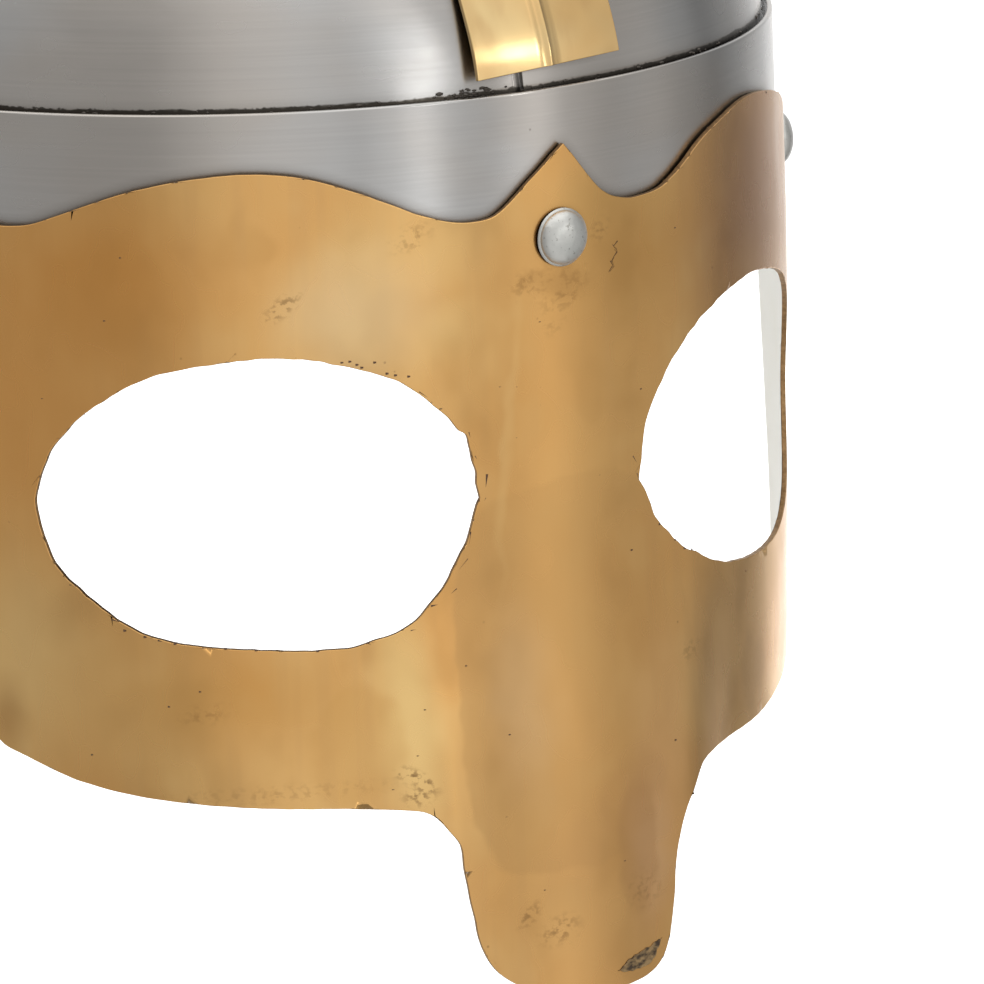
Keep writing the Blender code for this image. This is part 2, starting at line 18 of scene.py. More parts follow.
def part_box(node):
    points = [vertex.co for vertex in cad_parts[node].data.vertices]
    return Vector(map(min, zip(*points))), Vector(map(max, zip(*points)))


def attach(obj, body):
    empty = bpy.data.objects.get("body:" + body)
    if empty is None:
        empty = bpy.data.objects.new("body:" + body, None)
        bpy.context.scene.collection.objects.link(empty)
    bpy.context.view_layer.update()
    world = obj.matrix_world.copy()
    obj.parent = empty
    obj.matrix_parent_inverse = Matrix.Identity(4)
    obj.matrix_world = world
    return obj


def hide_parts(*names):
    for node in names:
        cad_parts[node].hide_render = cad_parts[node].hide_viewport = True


bl_info = {
    "name": "Spangenhelm Helmet",
    "version": (1, 0, 0),
    "blender": (4, 5, 0),
    "location": "3D View > Sidebar > Helmet",
    "description": "Builds the finished sheets, rivets and studio of a spangenhelm helmet",
    "category": "Add Mesh",
}

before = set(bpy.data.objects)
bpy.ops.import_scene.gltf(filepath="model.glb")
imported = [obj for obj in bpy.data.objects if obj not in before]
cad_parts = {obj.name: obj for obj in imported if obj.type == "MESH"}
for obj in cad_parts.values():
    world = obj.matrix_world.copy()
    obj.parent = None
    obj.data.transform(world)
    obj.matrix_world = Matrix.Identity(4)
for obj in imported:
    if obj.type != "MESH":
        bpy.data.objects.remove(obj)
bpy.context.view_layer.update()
MM = 0.001

# Brow band, from the frame
BAND_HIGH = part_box("brow_band")[1]
BAND_HALF_WIDTH = BAND_HIGH.x
BAND_HALF_DEPTH = BAND_HIGH.y
BAND_HEIGHT = BAND_HIGH.z
BAND_THICKNESS = 1.2 * MM

# Gaps between pieces that lie against each other
FIT_GAP = 0.3 * MM
MASK_STAND_OFF = 0.4 * MM

# Skull, an oval dome whose skirt stands inside the band
SKULL_HALF_WIDTH = BAND_HALF_WIDTH - BAND_THICKNESS - FIT_GAP
SKULL_HALF_DEPTH = BAND_HALF_DEPTH - BAND_THICKNESS - FIT_GAP
SKULL_THICKNESS = 1.2 * MM
SKULL_RISE = 99 * MM
EQUATOR = BAND_HEIGHT - 11 * MM
SKULL_ROUNDING = 0.3 * MM
SKULL_DENT_EASE = 20 * MM        # height above the band over which its dents set in
SKIRT_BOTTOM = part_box("skull_plate_front_left")[0].z
SEAM_ACROSS = -4.8 * MM

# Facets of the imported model's skull
PACKED_DOME_RINGS = 10
PACKED_HOOP_SEGMENTS = 56

# Strips over the seams
STRIP_WIDTH = 31.8 * MM
STRIP_THICKNESS = 1.0 * MM
STRIP_ABOVE_BAND = 3.7 * MM
FRONT_STRIP_SKEW = 1.7 * MM
FRONT_STRIP_LIFT = 1.8 * MM      # how far its lower end springs off the skull
SKEW_FADE = 10 * MM
LIFT_FADE = 20 * MM
RIDGE_FADE = 8 * MM
STRIP_COLUMN = 0.9 * MM         # distance between points across a strip

# Crown disc
DISC_RADIUS = 30 * MM
DISC_DISH = 1.8 * MM
DISC_THICKNESS = 1.1 * MM
DISC_RINGS = 14
DISC_SEGMENTS = 120

# Share of the sheets' dents that the stiffer pieces take
BAND_DENTS = 0.8
DISC_DENTS = 0.5

# Edges cut by hand: distance between points, and the depth and length of the ripples
Cut = namedtuple("Cut", "step depth length")
MASK_CUT = Cut(0.9 * MM, 0.10 * MM, 3.5 * MM)
EYE_CUT = Cut(0.7 * MM, 0.16 * MM, 2.6 * MM)
FLAKE_CUT = Cut(0.5 * MM, 0.5 * MM, 1.1 * MM)
SHARP_CORNER = math.radians(50)  # corners sharper than this are rounded

# Face mask, measured on the flat sheet
MASK_THICKNESS = 1.1 * MM
MASK_REACH = 134 * MM
MASK_TAPER = 0.29             # below the band the section narrows by this share a metre
TAPER_EASE = 10 * MM
CHEEK_DROP = 95 * MM
NASAL_DROP = 136 * MM
NASAL_HALF_WIDTH = 26.5 * MM
NASAL_BOW = 3.9 * MM
BOW_FADE_ACROSS = 23 * MM
EYE_HALF_HEIGHT = 27.8 * MM
EYE_DROP = 34.8 * MM
BOW_START = -(EYE_DROP + EYE_HALF_HEIGHT / 2)
BOW_FULL = -(CHEEK_DROP + NASAL_DROP) / 2 + EYE_HALF_HEIGHT / 2

# Outlines of the flat mask: millimetres across from the front centre and up from the head
# opening. A third number of 1 marks a sharp corner.
MASK_TOP = [
    (-131.0, 22.5, 1), (-116.6, 18.9, 0), (-109.5, 17.6, 0), (-103.1, 18.1, 0), (-96.8, 20.2, 0),
    (-84.7, 24.3, 0), (-73.1, 26.8, 0), (-61.9, 27.9, 0), (-50.8, 26.9, 0), (-39.8, 23.3, 0),
    (-28.6, 18.4, 0), (-22.9, 16.6, 0), (-17.9, 16.0, 0), (-13.8, 16.7, 0), (-7.4, 21.6, 0),
    (1.4, 28.6, 1), (6.1, 22.8, 0), (9.5, 18.9, 0), (13.1, 16.8, 0), (18.0, 15.8, 0),
    (25.3, 16.5, 0), (29.9, 18.4, 0), (40.2, 23.9, 0), (52.7, 27.3, 0), (60.4, 28.0, 0),
    (70.2, 27.0, 0), (84.7, 24.0, 0), (96.8, 20.0, 0), (107.5, 17.6, 0), (116.6, 18.9, 0),
    (131.0, 22.5, 1),
]
MASK_LEFT_SIDE = [
    (131.8, -10.1, 0), (120.6, -64.9, 0), (119.4, -75.5, 0), (116.7, -82.5, 0), (110.1, -85.4, 0),
    (97.3, -89.7, 0), (85.0, -91.9, 0), (75.0, -93.1, 0), (62.0, -94.7, 0), (45.5, -95.5, 0),
    (38.8, -96.0, 0), (34.0, -97.0, 0), (30.5, -100.9, 0), (27.3, -104.9, 0), (25.4, -109.2, 0),
    (24.1, -113.7, 0), (23.1, -123.1, 0), (20.3, -132.0, 0), (14.4, -135.5, 0), (1.3, -136.0, 0),
]
MASK_RIGHT_SIDE = [
    (-10.0, -134.0, 0), (-18.3, -129.7, 0), (-22.3, -124.4, 0), (-24.2, -117.1, 0),
    (-26.0, -107.4, 0), (-26.7, -102.6, 0), (-28.7, -99.7, 0), (-31.4, -96.5, 0),
    (-34.0, -95.4, 0), (-44.4, -94.6, 0), (-55.7, -94.1, 0), (-67.3, -93.5, 0),
    (-85.0, -91.9, 0), (-97.3, -89.7, 0), (-103.6, -87.8, 0), (-110.1, -85.4, 0),
    (-116.7, -82.5, 0), (-119.8, -75.5, 0), (-121.4, -64.9, 0), (-134.0, -10.1, 0),
]
EYE_RIGHT = [
    (-21.0, -24.3, 0), (-20.5, -26.5, 0), (-19.8, -29.9, 0), (-19.2, -31.9, 0), (-19.2, -33.9, 0),
    (-18.6, -36.7, 1), (-19.3, -38.1, 0), (-20.3, -41.3, 0), (-21.4, -44.6, 0), (-23.2, -47.7, 0),
    (-24.9, -50.7, 0), (-26.8, -53.5, 0), (-29.2, -55.9, 0), (-31.5, -58.2, 0), (-34.3, -60.1, 0),
    (-37.4, -61.3, 0), (-40.6, -62.1, 0), (-43.4, -63.0, 0), (-46.5, -63.3, 0), (-52.2, -63.4, 0),
    (-57.4, -63.2, 0), (-62.3, -62.9, 0), (-67.2, -62.6, 0), (-72.3, -62.2, 0), (-77.7, -61.5, 0),
    (-83.6, -60.1, 0), (-89.2, -57.4, 0), (-94.5, -53.6, 0), (-97.2, -51.4, 0), (-100.1, -49.0, 0),
    (-102.2, -46.1, 0), (-103.5, -42.8, 0), (-104.6, -39.3, 0), (-105.1, -35.6, 0),
    (-104.3, -31.8, 0), (-102.8, -28.2, 0), (-101.0, -24.7, 0), (-98.2, -21.6, 0),
    (-95.3, -18.8, 0), (-92.2, -16.5, 0), (-86.1, -12.8, 0), (-80.2, -10.2, 0), (-74.5, -8.8, 0),
    (-69.4, -8.0, 0), (-64.6, -7.4, 0), (-59.9, -7.0, 0), (-55.2, -7.1, 0), (-50.3, -7.6, 0),
    (-45.1, -8.9, 0), (-39.4, -10.5, 0), (-36.4, -11.7, 0), (-33.2, -13.1, 0), (-30.4, -15.2, 0),
    (-27.7, -17.6, 0), (-24.8, -20.3, 0), (-22.4, -23.3, 1),
]
EYE_LEFT = [
    (19.9, -27.8, 0), (19.1, -31.6, 0), (18.6, -34.6, 0), (18.2, -36.4, 0), (17.8, -38.6, 1),
    (19.0, -40.1, 0), (21.0, -43.9, 0), (22.1, -46.2, 0), (23.7, -48.4, 1), (26.0, -50.3, 0),
    (28.4, -52.5, 0), (31.2, -54.6, 0), (34.8, -56.1, 0), (38.7, -58.1, 0), (43.2, -59.7, 0),
    (48.4, -61.1, 0), (62.1, -62.2, 0), (77.0, -61.3, 0), (88.9, -57.4, 0), (99.7, -49.2, 0),
    (105.2, -36.0, 0), (98.6, -22.0, 0), (86.5, -13.1, 0), (74.9, -8.9, 0), (60.4, -6.4, 0),
    (53.1, -6.6, 0), (44.0, -8.2, 0), (40.2, -9.7, 0), (37.1, -10.7, 0), (34.7, -12.1, 0),
    (32.6, -13.3, 0), (29.6, -15.7, 0), (27.1, -17.7, 0), (25.3, -19.8, 0), (22.7, -23.1, 0),
]

# Marks that the snips left beside the eye openings: millimetres across and up at the broad end,
# the same at the pointed end, and the broad end's width
SNIP_MARKS = [
    (-20.5, -23.7, -20.1, -25.4, 0.6), (-19.4, -28.4, -18.8, -29.4, 0.5),
    (-17.06, -32.2, -17.57, -36.1, 1.5), (-19.0, -36.9, -18.3, -37.65, 0.5),
    (-17.4, -36.7, -18.0, -37.6, 0.4), (-20.6, -42.9, -21.2, -46.1, 0.4),
    (-21.35, -48.0, -23.4, -50.1, 0.3), (-23.8, -53.5, -25.1, -54.4, 0.4),
    (-29.1, -56.3, -27.4, -56.1, 0.8), (-33.3, -60.6, -32.3, -60.5, 0.4),
    (-41.7, -62.3, -40.8, -62.9, 0.4), (-30.0, -15.0, -28.4, -16.2, 0.3),
    (16.2, -33.8, 17.5, -35.7, 0.5), (17.2, -37.3, 18.0, -39.6, 0.5),
    (23.2, -48.4, 23.7, -48.5, 0.6), (27.8, -52.3, 28.3, -52.6, 0.5),
    (30.6, -54.6, 31.1, -54.8, 0.5), (32.9, -55.2, 33.4, -55.5, 0.5),
    (-94.4, -17.4, -93.4, -17.7, 0.4), (-105.7, -38.2, -106.0, -40.0, 0.4),
    (-90.7, -57.1, -89.05, -57.5, 0.4), (-81.6, -60.9, -80.8, -61.1, 0.4),
]
# Dots where the snips stopped, and pits: millimetres across and up
SNIP_DOTS = [
    (-44.4, -8.3), (-42.9, -8.2), (-41.6, -8.9), (-40.7, -9.5), (-38.25, -8.7), (-36.0, -11.0),
    (-34.4, -11.45), (-31.9, -11.9), (-63.8, -6.7), (-57.9, -6.3), (-52.7, -6.9), (-25.9, -18.65),
    (-98.65, -50.8), (-88.1, -59.2), (-84.1, -60.3), (-78.25, -61.5), (-68.5, -62.4),
    (-62.7, -62.8), (-51.0, -63.4),
]
PITS = [
    (-88.8, 0.4), (-85.1, 12.4), (-33.7, -84.6), (-38.4, -90.9), (-31.75, -75.9), (-23.0, -68.4),
    (15.6, -52.0), (-15.3, -82.5), (-17.0, -98.15), (24.5, -90.5), (9.8, -111.3), (-9.2, -113.7),
    (18.6, -21.2), (29.3, 8.0), (54.8, -64.4), (-111.0, -39.4), (-102.3, -15.0), (-80.1, -73.8),
    (-96.3, -83.8), (-73.85, -70.8), (-5.2, -4.5), (-13.95, -15.8), (-10.4, -16.25),
    (-5.3, -17.0), (-5.4, -20.4), (-10.7, -26.0), (7.8, -36.0),
]

# Tarnish on the mask, as ovals: millimetres across and up, half length and half height,
# turn in degrees. A film has the softness of its edge, its colour and its depth as well.
WIPED_FILM = (3.0, -73.0, 28.6, 37.0, 0)
WIPED_FILM_FADE = (-8.0, -76.0, 28.0, 42.0, 0)
MASK_FILMS = [
    (-106.0, -18.0, 36.0, 44.0, 0, 0.9, "#E2A45C", 0.75),
    (-88.0, 9.0, 15.0, 12.0, 0, 0.9, "#DC9A4E", 0.55),
    (-2.0, -31.0, 22.0, 64.0, 0, 0.9, "#D6A564", 0.6),
    (-35.2, -77.6, 4.6, 17.0, 4, 0.8, "#F4CE8A", 0.9),
    (-32.7, 12.2, 13.0, 7.0, 0, 0.9, "#F0CB8A", 0.4),
    (-111.7, -66.4, 14.0, 20.0, -12, 0.9, "#F0CB8A", 0.7),
    (64.0, 9.0, 24.0, 24.0, 0, 0.9, "#B98E6C", 0.85),
    (44.0, -78.0, 16.0, 14.0, 0, 0.9, "#E8BC82", 0.4),
    (4.0, -124.0, 26.0, 20.0, 0, 0.9, "#C99A60", 0.55),
    (20.5, -97.0, 7.0, 20.0, 0, 0.9, "#E9B67E", 0.45),
    (16.0, -110.0, 5.0, 12.0, 0, 0.9, "#E4BA90", 0.45),
    (-11.5, -77.0, 6.0, 14.0, 0, 0.9, "#E4BE8C", 0.4),
    (0.0, -108.0, 8.0, 9.0, 0, 0.9, "#B98A58", 0.3),
    (-86.0, -76.0, 16.0, 12.0, 0, 0.9, "#F2C47E", 0.55),
    (-56.0, -73.0, 11.0, 9.0, 0, 0.9, "#C48E4C", 0.35),
    (-42.0, 1.0, 12.0, 9.0, 0, 0.9, "#F6DCAA", 0.5),
    (17.0, 6.0, 18.0, 12.0, 0, 0.9, "#BE8E50", 0.45),
    (7.5, 17.0, 8.0, 7.0, 0, 0.9, "#CC9F60", 0.6),
    (-70.0, -73.3, 15.0, 7.0, 4, 0.8, "#D49C54", 0.45),
    (13.4, -108.0, 5.4, 14.0, -3, 0.2, "#BC8C58", 0.35),
    (12.0, -98.0, 9.0, 8.0, 30, 0.25, "#C0905C", 0.22),
    (-0.5, 2.3, 5.0, 3.2, 0, 0.7, "#A87E4A", 0.40),
    (-8.1, 2.9, 2.4, 1.8, 20, 0.7, "#A87E4A", 0.30),
    (-24.6, -3.7, 5.0, 4.0, 0, 0.9, "#F0CB8A", 0.35),
    (-99.1, -55.7, 6.0, 4.0, 30, 0.9, "#B98A52", 0.3),
    (-115.3, -78.8, 4.0, 6.0, 0, 0.9, "#A87A48", 0.5),
    (-44.5, -82.0, 8.0, 11.0, -20, 0.15, "#C8954F", 0.18),
    (-12.6, -27.0, 1.0, 20.0, -5, 0.9, "#F0CB8A", 0.22),
]
# Clusters of fine flecks: an oval, its colour and its depth
MASK_STAINS = [
    (-0.5, 2.3, 5.4, 3.4, 0, "#8A6238", 0.28), (-8.1, 2.9, 2.6, 2.0, 20, "#8A6238", 0.35),
    (1.6, 0.05, 2.0, 1.6, 0, "#8A6238", 0.30), (-55.1, 2.7, 3.4, 1.4, 38, "#7A5A38", 0.60),
    (-30.3, 14.3, 3.4, 1.8, 25, "#A07C4C", 0.50), (-32.8, -89.85, 2.4, 1.1, -35, "#7A5A38", 0.75),
    (-35.7, -88.15, 2.0, 1.2, -20, "#7A5A38", 0.70), (-34.0, -92.4, 2.2, 1.6, 0, "#7A5A38", 0.65),
    (-6.0, -122.1, 3.6, 2.2, 10, "#8F6B42", 0.65), (-12.6, -118.1, 2.4, 1.4, 40, "#8F6B42", 0.60),
    (9.15, 10.9, 2.2, 1.6, 45, "#8F6B42", 0.40), (-73.0, -75.3, 4.0, 1.6, 10, "#A87A48", 0.40),
    (30.7, -74.35, 3.0, 1.6, 0, "#A07C4C", 0.35), (-2.0, -3.6, 3.4, 2.4, 60, "#A07C4C", 0.35),
    (15.0, -118.0, 4.0, 3.0, 0, "#8F6B42", 0.30), (-60.0, -91.0, 18.0, 1.4, 3, "#8F6B42", 0.25),
]
FLAKE = [
    (7.6, -132.75, 1), (11.5, -130.75, 0), (15.0, -129.7, 0), (19.5, -128.5, 1), (17.5, -131.6, 0),
    (16.05, -132.9, 0), (13.3, -133.3, 0), (10.7, -133.6, 0),
]
SCRATCH = [
    (13.48, 8.16), (12.44, 7.37), (12.91, 6.72), (13.14, 6.11), (12.22, 5.3), (11.56, 4.45),
    (12.02, 3.61), (10.98, 2.63),
]

# Rivets
RivetKind = namedtuple("RivetKind", "head_radius head_height shank_radius steps")
MASK_RIVET = RivetKind(5.55 * MM, 3.2 * MM, 2.5 * MM, 56)
SMALL_RIVET = RivetKind(3.4 * MM, 2.1 * MM, 1.6 * MM, 36)
TAIL_TO_SHANK = 1.5
DOME_STEPS = 12
DOME_REACH = 0.93                # where the dome meets the rim, as a share of the radius
RIM_SHARE = 0.2                  # height of the thin rim, as a share of the head's height
RIVET_TAIL_HEIGHT = 1.1 * MM
FRONT_RIVET = (0.0, 11 * MM)
SIDE_RIVET = (MASK_REACH - 17 * MM, 9 * MM)
SMALL_RIVET_FROM_EDGE = 4.6 * MM
CROWN_RIVET_FROM_AXIS = 23.5 * MM
STRIP_RIVET_SHARES = (0.24, 0.62)

# Weld scale along the band's upper edge, with a blot beside the front strip
WELD_GRAINS = 190
WELD_BLOT_SHARE = 0.3
WELD_BLOT_AZIMUTH = math.radians(-9)
WELD_BLOT_SPREAD = math.radians(1.8)

# Camera, fitted to the photo: it looks at the mask from the wearer's right
CAMERA_PLACE = Vector((-0.895616, -1.471379, 0.336433))
CAMERA_AZIMUTH = -32.878
CAMERA_ELEVATION = 12.935
CAMERA_ROLL = -2.174
CAMERA_LENS = 325.62
SENSOR_WIDTH = 36.0

# Brightness of the light tent round the helmet at eye level, by azimuth in degrees: 0 is
# before the face and 90 on the wearer's left. The white background lies at 147.
TENT_LEVELS = [
    (-180, 0.80), (-130, 0.62), (-92, 0.50), (-70, 0.48), (-60, 0.50), (-52, 0.64), (-43, 0.84),
    (-32, 0.90), (-22, 0.85), (-14, 0.75), (-8, 0.90), (-3, 1.02), (2, 0.90), (7, 0.71),
    (18, 0.69), (24, 0.92), (29, 1.16), (33, 0.98), (37, 0.70), (52, 0.53), (66, 0.60),
    (79, 0.43), (90, 0.27), (104, 0.38), (118, 0.62), (130, 0.92), (147, 1.00), (180, 0.80),
]
TENT_ROOF = (0.44, 0.90)         # sine of the elevation where the roof sets in and is full

# Softboxes: azimuth and elevation in degrees, distance, width and height in metres, and how
# far each leans in its own plane, in degrees
Softbox = namedtuple("Softbox", "azimuth elevation distance width height lean")
KEY_SOFTBOX = Softbox(1.5, 8, 2.2, 0.26, 0.70, -30)
SMALL_SOFTBOX = Softbox(24, 17, 2.2, 0.20, 0.26, 0)
LOW_SOFTBOX = Softbox(126, -20, 2.2, 1.1, 0.4, 0)
FLOOR_LIGHT = Softbox(147, 60, 3.6, 3.0, 3.0, 0)

MARK_HEIGHT = 0.12 * MM          # how far nicks, scratch and flake stand off the mask
MIX_SHARE, MIX_FIRST, MIX_SECOND = 0, 6, 7    # a colour Mix node's inputs, whose names repeat

Piece = namedtuple("Piece", "name slot replaced")
FINISHES_MADE = {}


def linear(hex_colour):
    """Linear colour of an sRGB hex value."""
    shares = [int(hex_colour[i:i + 2], 16) / 255 for i in (1, 3, 5)]
    return tuple(s / 12.92 if s <= 0.04045 else ((s + 0.055) / 1.055) ** 2.4 for s in shares)


class HelmetSheets(bpy.types.PropertyGroup):
    """Sizes of the sheets' finer shape."""

    spacing: FloatProperty(
        name="Mesh spacing", description="Distance between points of a bent sheet",
        default=1.9 * MM, min=0.5 * MM, unit="LENGTH")
    rounding: FloatProperty(
        name="Cut edge rounding", description="Width worn off the edges of the brass",
        default=0.22 * MM, min=0.0, unit="LENGTH")
    band_rounding: FloatProperty(
        name="Band edge rounding", description="Width filed off the edges of the brow band",
        default=0.55 * MM, min=0.0, unit="LENGTH")
    wave: FloatProperty(
        name="Waviness", description="How far hand-bent sheet strays from its true curve",
        default=0.16 * MM, min=0.0, unit="LENGTH")
    wave_length: FloatProperty(
        name="Wave length", description="Distance between the shallow dents",
        default=42 * MM, min=5 * MM, unit="LENGTH")
    seam_gap: FloatProperty(
        name="Seam gap", description="Open seam between two skull plates",
        default=0.4 * MM, min=0.0, unit="LENGTH")
    ridge_width: FloatProperty(
        name="Ridge width", description="Width of the ridge along each strip",
        default=2.8 * MM, min=MM, unit="LENGTH")
    ridge_height: FloatProperty(
        name="Ridge height", description="Height of the ridge along each strip",
        default=0.6 * MM, min=0.0, unit="LENGTH")
    strip_fold: FloatProperty(
        name="Strip fold", description="How far each half of a strip turns down from the ridge",
        default=math.radians(2.1), subtype="ANGLE")
    strip_wave: FloatProperty(
        name="Strip waviness", description="How far the hammered strips stray from true",
        default=0.16 * MM, min=0.0, unit="LENGTH")
    strip_wave_length: FloatProperty(
        name="Strip wave length", description="Distance between the strips' shallow dents",
        default=19 * MM, min=5 * MM, unit="LENGTH")


class HelmetFinishes(bpy.types.PropertyGroup):
    """Colours and roughness of the metals."""

    steel: FloatVectorProperty(
        name="Steel", description="Bare brushed steel", subtype="COLOR",
        default=linear("#BBBAB8"), min=0.0, max=1.0)
    steel_warm: FloatVectorProperty(
        name="Steel, warm", description="Steel where it has begun to yellow", subtype="COLOR",
        default=linear("#B9B3AC"), min=0.0, max=1.0)
    steel_roughness: FloatProperty(
        name="Steel roughness", description="Roughness of the brushed steel",
        default=0.25, min=0.0, max=1.0, subtype="FACTOR")
    brass: FloatVectorProperty(
        name="Brass", description="Worn sheet brass", subtype="COLOR",
        default=linear("#E4B674"), min=0.0, max=1.0)
    brass_orange: FloatVectorProperty(
        name="Brass, tarnished", description="Brass under an orange-brown film",
        subtype="COLOR", default=linear("#DCA25E"), min=0.0, max=1.0)
    brass_pale: FloatVectorProperty(
        name="Brass, clean", description="Brass rubbed bright", subtype="COLOR",
        default=linear("#EEC888"), min=0.0, max=1.0)
    strip_brass: FloatVectorProperty(
        name="Brass, polished", description="Polished brass of the strips", subtype="COLOR",
        default=linear("#E8CA93"), min=0.0, max=1.0)
    brass_roughness: FloatProperty(
        name="Brass roughness", description="Roughness of the worn brass",
        default=0.27, min=0.0, max=1.0, subtype="FACTOR")
    strip_roughness: FloatProperty(
        name="Strip roughness", description="Roughness of the polished strips",
        default=0.17, min=0.0, max=1.0, subtype="FACTOR")
    aluminium: FloatVectorProperty(
        name="Aluminium", description="Dull rivet aluminium", subtype="COLOR",
        default=linear("#D4D2CD"), min=0.0, max=1.0)
    dust: FloatProperty(
        name="Dust", description="Pale sheen of dust that shows where a surface turns away",
        default=0.26, min=0.0, max=1.0, subtype="FACTOR")


class HelmetStudio(bpy.types.PropertyGroup):
    """Floor and light."""

    floor_drop: FloatProperty(
        name="Floor drop", description="Floor below the tip of the nose guard",
        default=60 * MM, unit="LENGTH")
    floor_radius: FloatProperty(
        name="Floor radius", description="Radius of the floor", default=30.0, unit="LENGTH")
    floor_colour: FloatVectorProperty(
        name="Floor colour", description="Plain pale floor", subtype="COLOR",
        default=linear("#F4F4F3"), min=0.0, max=1.0)
    tent_top: FloatProperty(
        name="Tent roof", description="Brightness of the light tent overhead",
        default=1.55, min=0.0)
    key_light: FloatProperty(
        name="Key light", description="Power of the softbox before the face",
        default=1.6, min=0.0, unit="POWER")
    small_light: FloatProperty(
        name="Small light", description="Power of the small softbox that glints on the strip",
        default=1.3, min=0.0, unit="POWER")
    low_light: FloatProperty(
        name="Low light", description="Power of the softbox behind the wearer's left cheek",
        default=1.1, min=0.0, unit="POWER")
    floor_light: FloatProperty(
        name="Floor light", description="Power of the light over the background",
        default=150.0, min=0.0, unit="POWER")
    random_seed: IntProperty(
        name="Seed", description="Seed of the scattered weld grains and the scratch's strokes",
        default=11, min=0)


def set_inputs(tree, node, inputs):
    """Set or link a node's inputs: a value, an output, or a node for its first shown output."""
    for name, value in inputs.items():
        if isinstance(value, bpy.types.Node):
            value = next(output for output in value.outputs if output.enabled)
        if isinstance(value, bpy.types.NodeSocket):
            tree.links.new(value, node.inputs[name])
        else:
            node.inputs[name].default_value = value


def add_node(tree, kind, inputs=None, **settings):
    """Add a node with its settings and links."""
    node = tree.nodes.new(kind)
    for name, value in settings.items():
        setattr(node, name, value)
    set_inputs(tree, node, inputs or {})
    return node


def new_material(name, **sockets):
    """Material, a metal if not said, with what adds its nodes and what sets its shader."""
    material = bpy.data.materials.new(name)
    material.use_nodes = True
    tree = material.node_tree
    shader = tree.nodes["Principled BSDF"]
    shader.inputs["Metallic"].default_value = 1.0
    for socket, value in sockets.items():
        shader.inputs[socket.replace("_", " ")].default_value = value
    return material, partial(add_node, tree), partial(set_inputs, tree, shader)


def opaque(colour):
    """Colour with full alpha, from a hex value or linear shares."""
    return (*(linear(colour) if isinstance(colour, str) else colour), 1.0)


def grain(add, place, sizes, detail, seed=0.0):
    """Noise whose grains are as long as the sizes say, in millimetres along X, Y and Z."""
    stretched = add("ShaderNodeMapping", {
        "Vector": place, "Location": (seed, seed, seed),
        "Scale": tuple(1 / (size * MM) for size in sizes)})
    return add("ShaderNodeTexNoise",
               {"Vector": stretched, "Scale": 1.0, "Detail": detail, "Roughness": 0.55})


def crevice_shaded(add, colour, reach, most, crevice_shade_colour):
    """Colour with painted shade in crevices narrower than the reach, its share up to the most."""
    # painted shade: ambient occlusion darkens the colour in crevices, where shade falls
    open_share = add("ShaderNodeAmbientOcclusion", {"Distance": reach}, samples=6).outputs["AO"]
    share = add("ShaderNodeMapRange", {"Value": open_share, "From Min": 0.93, "From Max": 0.35,
                                       "To Max": most})
    return add("ShaderNodeMix", {MIX_SHARE: share, MIX_FIRST: colour,
                                 MIX_SECOND: opaque(crevice_shade_colour)}, data_type="RGBA")


def steel_surface(name, finishes):
    """Brushed steel to build a material on; returns its parts, with the colour still open."""
    material, add, set_shader = new_material(
        name, Anisotropic=0.85, Anisotropic_Rotation=0.25, Sheen_Weight=finishes.dust,
        Sheen_Roughness=0.22)
    place = add("ShaderNodeTexCoord").outputs["Object"]
    yellowed = add("ShaderNodeMapRange", {"Value": grain(add, place, (48, 48, 34), 2),
                                          "From Min": 0.38, "From Max": 0.64},
                   interpolation_type="SMOOTHSTEP")
    colour = add("ShaderNodeMix", {MIX_SHARE: yellowed, MIX_FIRST: opaque(finishes.steel),
                                   MIX_SECOND: opaque(finishes.steel_warm)}, data_type="RGBA")
    # drawn at 0.5 mm, where real grit leaves lines of 0.1 mm that no pixel could show
    lines = grain(add, place, (55, 55, 0.5), 2)
    shade = add("ShaderNodeMapRange", {"Value": lines, "From Min": 0.3, "From Max": 0.7,
                                       "To Min": 0.955, "To Max": 1.0})
    colour = add("ShaderNodeMix", {MIX_SHARE: 1.0, MIX_FIRST: colour, MIX_SECOND: shade},
                 data_type="RGBA", blend_type="MULTIPLY")
    # pin pricks of rust and dirt about 0.4 mm wide
    cells = add("ShaderNodeTexVoronoi", {"Vector": place, "Scale": 1 / (16 * MM)})
    pricks = add("ShaderNodeMapRange", {"Value": cells, "From Min": 0.022, "From Max": 0.010,
                                        "To Max": 0.5})
    colour = add("ShaderNodeMix", {MIX_SHARE: pricks, MIX_FIRST: colour,
                                   MIX_SECOND: opaque("#6A5F55")}, data_type="RGBA")
    smudge = grain(add, place, (24, 24, 12), 3, seed=7.0)
    rough = add("ShaderNodeMapRange", {
        "Value": smudge, "From Min": 0.3, "From Max": 0.7,
        "To Min": finishes.steel_roughness - 0.05, "To Max": finishes.steel_roughness + 0.05})
    bump = add("ShaderNodeBump", {"Height": lines, "Distance": 0.006 * MM, "Strength": 1.0})
    bump = add("ShaderNodeBump", {"Height": smudge, "Distance": 0.03 * MM, "Strength": 1.0,
                                  "Normal": bump})
    upright = add("ShaderNodeTangent", direction_type="RADIAL", axis="Z")
    set_shader({"Roughness": rough, "Normal": bump, "Tangent": upright})
    return material, add, set_shader, colour, place


def brushed_steel(finishes):
    """Cold-rolled steel sheet, brushed level all round.

    The level lines draw its reflections out upright, and it has begun to yellow in patches.
    """
    material, add, set_shader, colour, _ = steel_surface("brushed_steel", finishes)
    # painted shade: the colour darkens towards grey-brown in crevices narrower than 2.4 mm
    set_shader({"Base Color": crevice_shaded(add, colour, 2.4 * MM, 0.85, "#54483A")})
    return material


